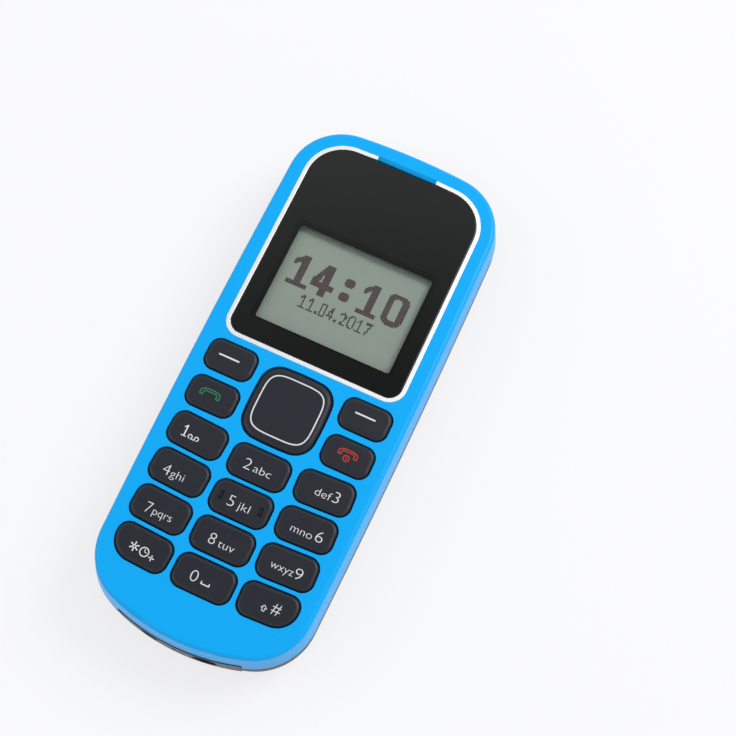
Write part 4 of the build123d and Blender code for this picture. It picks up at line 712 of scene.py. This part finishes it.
def woven_tree():
    """Woven wire cloth: two sets of wires that pass over and under each other."""
    tree, source, end = new_tree("woven_wire", Float=("Width", "Length", "Pitch", "Wire", "Wave"))
    pitch = source["Pitch"]
    radius = add(tree, "ShaderNodeMath", {0: source["Wire"], 1: 2.0}, operation="DIVIDE")
    ring = add(tree, "GeometryNodeCurvePrimitiveCircle", {"Resolution": 5, "Radius": radius})
    place = add(tree, "ShaderNodeSeparateXYZ", {0: add(tree, "GeometryNodeInputPosition")}).outputs
    total = add(tree, "ShaderNodeMath", {0: place["X"], 1: place["Y"]}, operation="ADD")
    phase = add(tree, "ShaderNodeMath", {0: total, 1: pitch}, operation="DIVIDE")
    angle = add(tree, "ShaderNodeMath", {0: phase, 1: math.pi}, operation="MULTIPLY")
    swing = add(tree, "ShaderNodeMath", {0: angle}, operation="COSINE")
    rise = add(tree, "ShaderNodeMath", {0: swing, 1: source["Wave"]}, operation="MULTIPLY")
    fall = add(tree, "ShaderNodeMath", {0: rise, 1: -1.0}, operation="MULTIPLY")
    sets = []
    ways = (("Y", "X", "Length", "Width", rise), ("X", "Y", "Width", "Length", fall))
    for along, side, run, span, wave in ways:
        half = add(tree, "ShaderNodeMath", {0: source[run], 1: 2.0}, operation="DIVIDE")
        back = add(tree, "ShaderNodeMath", {0: half, 1: -1.0}, operation="MULTIPLY")
        start = add(tree, "ShaderNodeCombineXYZ", {along: back})
        stop = add(tree, "ShaderNodeCombineXYZ", {along: half})
        straight = add(tree, "GeometryNodeCurvePrimitiveLine", {"Start": start, "End": stop})
        step = add(tree, "ShaderNodeMath", {0: pitch, 1: 3.0}, operation="DIVIDE")
        fine = add(tree, "GeometryNodeResampleCurve", {"Curve": straight, "Length": step}, mode="LENGTH")
        tube = add(tree, "GeometryNodeCurveToMesh", {"Curve": fine, "Profile Curve": ring, "Fill Caps": True})
        count = add(tree, "ShaderNodeMath", {0: source[span], 1: pitch}, operation="DIVIDE")
        whole = add(tree, "ShaderNodeMath", {0: count}, operation="FLOOR")
        reach = add(tree, "ShaderNodeMath", {0: whole, 1: pitch}, operation="MULTIPLY")
        edge = add(tree, "ShaderNodeMath", {0: reach, 1: -0.5}, operation="MULTIPLY")
        first = add(tree, "ShaderNodeCombineXYZ", {side: edge})
        apart = add(tree, "ShaderNodeCombineXYZ", {side: pitch})
        more = add(tree, "ShaderNodeMath", {0: whole, 1: 1.0}, operation="ADD")
        row = add(tree, "GeometryNodeMeshLine", {"Count": more, "Start Location": first, "Offset": apart})
        wires = add(tree, "GeometryNodeInstanceOnPoints", {"Points": row, "Instance": tube})
        loose = add(tree, "GeometryNodeRealizeInstances", {"Geometry": wires})
        shift = add(tree, "ShaderNodeCombineXYZ", {"Z": wave})
        sets.append(add(tree, "GeometryNodeSetPosition", {"Geometry": loose, "Offset": shift}))
    joined = add(tree, "GeometryNodeJoinGeometry", {0: sets[0]})
    tree.links.new(sets[1].outputs[0], joined.inputs[0])
    return end(joined)


def pad_tree():
    """Rows of flat contact pads."""
    tree, source, end = new_tree(
        "contact_pads", Int=("Columns", "Rows"), Float=("Span X", "Span Y"), Vector=("Pad",)
    )
    spans = {"Size X": source["Span X"], "Size Y": source["Span Y"]}
    counts = {"Vertices X": source["Columns"], "Vertices Y": source["Rows"]}
    grid = add(tree, "GeometryNodeMeshGrid", {**spans, **counts})
    pad = add(tree, "GeometryNodeMeshCube", {"Size": source["Pad"]})
    return end(add(tree, "GeometryNodeInstanceOnPoints", {"Points": grid, "Instance": pad}))


# Operators


class PHONE_OT_covers(bpy.types.Operator):
    """Finishes the front cover, the chassis, the rear cover, the torch and its cap"""

    bl_idname = "phone.covers"
    bl_label = "Covers and chassis"

    def execute(self, context):
        dress(["front_cover", "rear_cover", "rear_chassis", "top_cap", "torch_lens", "torch_led"])
        return {"FINISHED"}


class PHONE_OT_lens(bpy.types.Operator):
    """Finishes the display lens with its print, tape and trim ring"""

    bl_idname = "phone.lens"
    bl_label = "Display lens"

    def execute(self, context):
        dress(["display_lens", "lens_adhesive", "lens_trim"])
        # The print is shown as a film, lowered by this share of the gap to the tape below it
        share = 0.6
        gap = lows("lens_mask").z - highs("lens_adhesive").z
        film = bmesh.new()
        film.from_mesh(NODES["lens_mask"].data)
        bmesh.ops.remove_doubles(film, verts=film.verts, dist=0.0005 * MM)
        bmesh.ops.translate(film, verts=film.verts, vec=(0, 0, -share * gap * MM))
        mesh = released(film, "lens_print")
        piece = placed("lens_print", mesh, finish_of("mask_ink"), "handset")
        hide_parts("lens_mask")
        return {"FINISHED"}


def clock_shapes():
    """Flat figures of the clock, round the middle of the window."""
    figure = (CLOCK_FOOT, CLOCK_HEIGHT, CLOCK_STROKE)
    shapes = [
        [figure_one(-12.45, -8.0, *figure)],
        figure_four(-7.65, -3.0, *figure),
        [circle(-0.45, CLOCK_FOOT + 1.75, 1.05)],
        [circle(-0.45, CLOCK_FOOT + 4.85, 1.05)],
        [figure_one(2.5, 6.9, *figure)],
        figure_nought(7.6, 12.0, CLOCK_FOOT, CLOCK_HEIGHT, 1.35),
    ]
    return [outlined(loops, 0.0) for loops in shapes]


def date_shapes(date):
    """Flat figures of a date. They stand in places of one width, its points in half a place."""
    points = date.count(".")
    step = DATE_WIDTH / (len(date) - points / 2)
    shapes = []
    x = DATE_LEFT
    for sign in date:
        width = step / 2 if sign == "." else step
        left = x + 0.12
        right = x + width - 0.2
        place = (left, right, DATE_FOOT, DATE_HEIGHT)
        loops = None
        if sign == ".":
            middle = (left + right) / 2
            loops = [bar((middle, DATE_FOOT), (middle, DATE_FOOT + 0.62), 0.6)]
        elif sign == "1":
            loops = [figure_one(*place, 0.42)]
        elif sign == "4":
            loops = figure_four(*place, 0.36)
        elif sign == "0":
            loops = figure_nought(*place, 0.34, 0.5, 0.25)
        shapes.append(outlined(loops, 0.0) if loops else lettered(sign, *place, 0.0, 0.03))
        x += width
    return shapes


class PHONE_OT_display(bpy.types.Operator):
    """Finishes the display's pieces and fills it with a clock and a date"""

    bl_idname = "phone.display"
    bl_label = "Display"

    def execute(self, context):
        dress(["lcd_panel", "lcd_backlight", "lcd_holder", "lcd_gasket", "lcd_flex"])
        sizes = context.scene.phone_sizes
        target = released(gathered(clock_shapes() + date_shapes("11.04.2017")), "display_shapes")
        ink = finish_of("lcd_dots")
        values = {
            "Columns": sizes.columns,
            "Rows": sizes.rows,
            "Pitch X": WINDOW_WIDTH / sizes.columns,
            "Pitch Y": WINDOW_HEIGHT / sizes.rows,
            "Share": 0.93,
            "Depth": 0.01,
            "Material": ink,
        }
        # The dots' middles lie this far over the panel, in mm
        lift = 0.006
        dots = in_frame(grown(display_tree(), values, target), 0, WINDOW_Y, PANEL_TOP + lift)
        placed("display_dots", dots, ink, "handset")
        return {"FINISHED"}


class PHONE_OT_keys(bpy.types.Operator):
    """Finishes the sixteen key caps"""

    bl_idname = "phone.keys"
    bl_label = "Key caps"

    def execute(self, context):
        dress([node for node, body in BODY_OF.items() if body.endswith("_button")])
        return {"FINISHED"}


# Digits, letters and signs of each key, with their left and right ends and their base line in mm
WORDS = {
    "key_2": [("2", -2.85, -1.4, -19.65), ("abc", -0.8, 2.75, -19.55)],
    "key_3": [("def", 11.35, 14.6, -18.65), ("3", 14.8, 16.05, -18.6)],
    "key_4": [("4", -15.85, -14.45, -26.85), ("ghi", -14.2, -11.5, -26.8)],
    "key_5": [("5", -2.45, -1.15, -27.2), ("jkl", -0.3, 2.0, -27.1)],
    "key_6": [("mno", 10.25, 14.45, -26.65), ("6", 15.05, 16.45, -26.55)],
    "key_7": [("7", -15.45, -14.3, -34.65), ("pqrs", -13.9, -10.1, -34.5)],
    "key_8": [("8", -2.4, -1.15, -34.95), ("tuv", -0.45, 2.7, -34.9)],
    "key_9": [("wxyz", 9.8, 14.3, -34.2), ("9", 14.5, 15.95, -34.35)],
    "key_0": [("0", -2.4, -1.0, -42.45)],
    "key_hash": [("#", 13.5, 15.2, -41.8)],
}


def key_icons(line, digit):
    """Icons of each key as groups of outlines, for a width of line and a height of digit in mm."""
    tape, joint = message_icon(-14.6, -12.35, -18.85, -17.9, 0.85 * line)
    face, hands = clock_icon(-11.85, -41.3, 0.93, 0.92 * line)
    arms = star_icon(-13.95, -41.1, 0.95, 0.23) + plus_icon(-10.2, -41.82, 0.55, line)
    return {
        "key_1": [[figure_one(-15.9, -14.85, -18.8, digit, 0.26)], tape, [joint]],
        "key_star": [face, *([piece] for piece in (*hands, *arms))],
        "key_0": [space_icon(-0.15, 1.6, -42.25, -41.65, line)],
        "key_hash": [shift_icon(12.15, -42.0, -40.75, 1.35, 0.6 * line)],
        "soft_key_left": [[bar((-16.5, -1.42), (-12.3, -1.42), 0.32)]],
        "soft_key_right": [[bar((11.7, -1.1), (15.85, -1.1), 0.32)]],
        "call_key": [handset_icon(-14.45, -9.25, 4.1, 1.6, 0.2)],
        "end_key": [handset_icon(13.9, -8.95, 3.9, 1.45, 0.2), power_icon(13.9, -10.0, 0.68, 0.2)],
    }


class PHONE_OT_legends(bpy.types.Operator):
    """Prints the digits, letters and icons on the key caps"""

    bl_idname = "phone.legends"
    bl_label = "Key legends"

    def execute(self, context):
        sizes = context.scene.phone_sizes
        film = sizes.film
        icons = key_icons(sizes.line, sizes.digit)
        # Height and gain of the strokes, in mm: digits are printed thinner than the letters beside them
        digit = (sizes.digit, -0.06)
        letter = (sizes.letter, -0.03)
        sign = (2.1, -0.03)
        inks = {"call_key": "green_ink", "end_key": "red_ink"}
        for key in sorted({*WORDS, *icons}):
            parts = []
            for text, left, right, base in WORDS.get(key, ()):
                height, weight = digit if text.isdigit() else letter if text.isalpha() else sign
                parts.append(lettered(text, left, right, base, height, film, weight))
            parts += [outlined(loops, film) for loops in icons.get(key, ())]
            mesh = assembled(parts, KEY_TOP + INK_LIFT)
            placed(f"{key}_print", mesh, finish_of(inks.get(key, "white_ink")), BODY_OF[key])
        # A dark line of painted shade runs round each raised mark of the middle key
        reach = 4.0
        middle = (lows("key_5").y + highs("key_5").y) / 2
        marks = [outlined([bar((x, middle - 0.8), (x, middle + 0.8), 0.66)], film) for x in (-reach, reach)]
        mesh = assembled(marks, KEY_TOP + INK_LIFT)
        placed("key_5_mark_coat", mesh, finish_of("painted_mark_shade"), BODY_OF["key_5"])
        return {"FINISHED"}


class PHONE_OT_scroll_key(bpy.types.Operator):
    """Finishes the scroll key and its rocker, and prints its ring line"""

    bl_idname = "phone.scroll_key"
    bl_label = "Scroll key"

    def execute(self, context):
        dress(["nav_key", "nav_rocker"])
        sizes = context.scene.phone_sizes
        middle = (lows("nav_key").y + highs("nav_key").y) / 2
        outer = soft_square(0, middle, sizes.ring, sizes.ring - 0.1)
        line = outlined([outer, drawn_in(outer, sizes.ring_line)], sizes.film)
        mesh = assembled([line], KEY_TOP + INK_LIFT)
        placed("scroll_ring_print", mesh, finish_of("white_ink"), "scroll_key")
        return {"FINISHED"}


class PHONE_OT_keypad_parts(bpy.types.Operator):
    """Finishes the keymat, the dome switches and the keypad lamps"""

    bl_idname = "phone.keypad_parts"
    bl_label = "Keypad parts"

    def execute(self, context):
        dress(["keymat", "dome_switches", "keypad_lamps"])
        return {"FINISHED"}


class PHONE_OT_board_parts(bpy.types.Operator):
    """Finishes the main board with its shield cans and chips, the antenna and the screws"""

    bl_idname = "phone.board_parts"
    bl_label = "Board parts"

    def execute(self, context):
        dress(["main_board", "shield_cans", "board_chips", "antenna", "chassis_screws"])
        return {"FINISHED"}


class PHONE_OT_sound_parts(bpy.types.Operator):
    """Finishes the earpiece, the loudspeaker and the microphone, and weaves their dust meshes"""

    bl_idname = "phone.sound_parts"
    bl_label = "Sound parts"

    def execute(self, context):
        dress(["earpiece_speaker", "earpiece_gasket", "loudspeaker", "loudspeaker_foam"])
        dress(["microphone", "microphone_boot", "earpiece_mesh", "loudspeaker_mesh"])
        sizes = context.scene.phone_sizes
        steel = finish_of("steel_dark")
        tree = woven_tree()
        for node in ("earpiece_mesh", "loudspeaker_mesh"):
            low = lows(node)
            high = highs(node)
            values = {
                "Width": high.x - low.x,
                "Length": high.y - low.y,
                "Pitch": sizes.wire_pitch,
                "Wire": sizes.wire,
                "Wave": (high.z - low.z - sizes.wire) / 2,
                "Material": steel,
            }
            cloth = in_frame(grown(tree, values), *((low + high) / 2))
            piece = placed(f"{node}_weave", cloth, steel, BODY_OF[node])
            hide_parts(node)
        return {"FINISHED"}


class PHONE_OT_battery_parts(bpy.types.Operator):
    """Finishes the battery, its connector and the SIM card with its contacts"""

    bl_idname = "phone.battery_parts"
    bl_label = "Battery and SIM card"

    def execute(self, context):
        dress(["battery_cell", "battery_cap", "sim_card", "sim_holder"])
        dress(["battery_connector", "sim_contacts"], "battery_plastic")
        gold = finish_of("gold_flash")
        card = highs("sim_card")
        # Eight pads, in mm, round a point this far from the end of the card
        from_end = 17.2
        pad = (2.4, 2.2, 0.014)
        values = {"Columns": 2, "Rows": 4, "Span X": 7.6, "Span Y": 7.6, "Pad": pad, "Material": gold}
        pads = in_frame(grown(pad_tree(), values), 0, card.y - from_end, card.z + pad[2] / 2)
        placed("sim_card_pads", pads, gold, "sim_card")
        return {"FINISHED"}


class PHONE_OT_sockets(bpy.types.Operator):
    """Finishes the sockets and the vibration motor"""

    bl_idname = "phone.sockets"
    bl_label = "Sockets and motor"

    def execute(self, context):
        dress(["headset_jack", "charger_jack"], "battery_plastic")
        dress(["vibra_motor", "vibra_weight", "vibra_boot"])
        return {"FINISHED"}


def studio_world(sky):
    """A world that lights the phone from all round, and shows gloss white walls and a dim ceiling."""
    world = bpy.data.worlds.new("studio")
    world.use_nodes = True
    tree = world.node_tree
    tree.nodes.clear()
    path = add(tree, "ShaderNodeLightPath").outputs
    rays = {0: path["Is Camera Ray"], 1: path["Is Glossy Ray"]}
    seen = add(tree, "ShaderNodeMath", rays, operation="MAXIMUM")
    shown = add(tree, "ShaderNodeMath", {0: seen, 1: path["Is Transmission Ray"]}, operation="MAXIMUM")
    light = add(tree, "ShaderNodeBackground", {"Color": (*linear("FBFCFF"), 1), "Strength": sky})
    height = add(tree, "ShaderNodeSeparateXYZ", {0: add(tree, "ShaderNodeTexCoord").outputs["Generated"]})
    ramp = {"Value": height.outputs["Z"], "From Min": 0.86, "From Max": 0.97, "To Min": 1.0, "To Max": 0.2}
    ceiling = add(tree, "ShaderNodeMapRange", ramp, interpolation_type="SMOOTHSTEP")
    # The camera sees plain white
    level = add(tree, "ShaderNodeMath", {0: ceiling, 1: path["Is Camera Ray"]}, operation="MAXIMUM")
    white = add(tree, "ShaderNodeBackground", {"Color": (1, 1, 1, 1), "Strength": level})
    both = add(tree, "ShaderNodeMixShader", {0: shown, 1: light, 2: white})
    add(tree, "ShaderNodeOutputWorld", {"Surface": both})
    return world


class PHONE_OT_stage(bpy.types.Operator):
    """Makes the floor, the lights and the camera"""

    bl_idname = "phone.stage"
    bl_label = "Stage"

    def execute(self, context):
        scene = context.scene
        sizes = scene.phone_sizes
        # The floor lies a hair under the phone and reaches 2.5 m each way
        reach = 2.5
        under = -0.02 * MM
        plane = bpy.data.meshes.new("studio_floor")
        corners = [(-reach, -reach), (reach, -reach), (reach, reach), (-reach, reach)]
        plane.from_pydata([(x, y, under) for x, y in corners], [], [(0, 1, 2, 3)])
        plane.materials.append(finish_of("white_board"))
        floor = bpy.data.objects.new("studio_floor", plane)
        scene.collection.objects.link(floor)
        scene.world = studio_world(sizes.sky)

        # Place in metres, power in watts, width in metres and how much of the lamp gloss shows
        for name, spot, power, width, gloss in (
            ("soft_lamp", (0.34, 0.38, 0.56), sizes.lamp, 0.42, 0.35),
            ("fill_lamp", (-0.5, -0.25, 0.5), 0.25 * sizes.lamp, 0.5, 2.5),
        ):
            lamp = bpy.data.lights.new(name, "AREA")
            lamp.energy = power
            lamp.size = width
            lamp.shape = "DISK"
            lamp.specular_factor = gloss
            holder = bpy.data.objects.new(name, lamp)
            holder.location = spot
            holder.rotation_euler = (-Vector(spot)).to_track_quat("-Z", "Y").to_euler()
            scene.collection.objects.link(holder)

        view = bpy.data.cameras.new("photo_camera")
        view.lens = CAMERA_LENS
        view.sensor_width = CAMERA_SENSOR
        view.clip_start = 0.01
        camera = bpy.data.objects.new("photo_camera", view)
        camera.location = CAMERA_PLACE
        camera.rotation_euler = [math.radians(a) for a in CAMERA_TURN]
        scene.collection.objects.link(camera)
        scene.camera = camera
        scene.view_settings.view_transform = "Standard"
        return {"FINISHED"}


class PHONE_PT_panel(bpy.types.Panel):
    """Lists the phone's operators, sizes and colours"""

    bl_idname = "PHONE_PT_panel"
    bl_label = "Feature phone"
    bl_space_type = "VIEW_3D"
    bl_region_type = "UI"
    bl_category = "Phone"

    def draw(self, context):
        for operator in OPERATORS:
            self.layout.operator(operator.bl_idname)
        for group in (context.scene.phone_sizes, context.scene.phone_colours):
            for name in group.__annotations__:
                self.layout.prop(group, name)


OPERATORS = (
    PHONE_OT_covers,
    PHONE_OT_lens,
    PHONE_OT_display,
    PHONE_OT_keys,
    PHONE_OT_legends,
    PHONE_OT_scroll_key,
    PHONE_OT_keypad_parts,
    PHONE_OT_board_parts,
    PHONE_OT_sound_parts,
    PHONE_OT_battery_parts,
    PHONE_OT_sockets,
    PHONE_OT_stage,
)
CLASSES = (PhoneColours, PhoneSizes, *OPERATORS, PHONE_PT_panel)


def register():
    for kind in CLASSES:
        bpy.utils.register_class(kind)
    bpy.types.Scene.phone_colours = bpy.props.PointerProperty(type=PhoneColours)
    bpy.types.Scene.phone_sizes = bpy.props.PointerProperty(type=PhoneSizes)


def unregister():
    del bpy.types.Scene.phone_sizes
    del bpy.types.Scene.phone_colours
    for kind in reversed(CLASSES):
        bpy.utils.unregister_class(kind)


def main():
    """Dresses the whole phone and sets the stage."""
    register()
    bpy.ops.phone.covers()
    bpy.ops.phone.lens()
    bpy.ops.phone.display()
    bpy.ops.phone.keys()
    bpy.ops.phone.legends()
    bpy.ops.phone.scroll_key()
    bpy.ops.phone.keypad_parts()
    bpy.ops.phone.board_parts()
    bpy.ops.phone.sound_parts()
    bpy.ops.phone.battery_parts()
    bpy.ops.phone.sockets()
    bpy.ops.phone.stage()


if __name__ == "__main__":
    main()
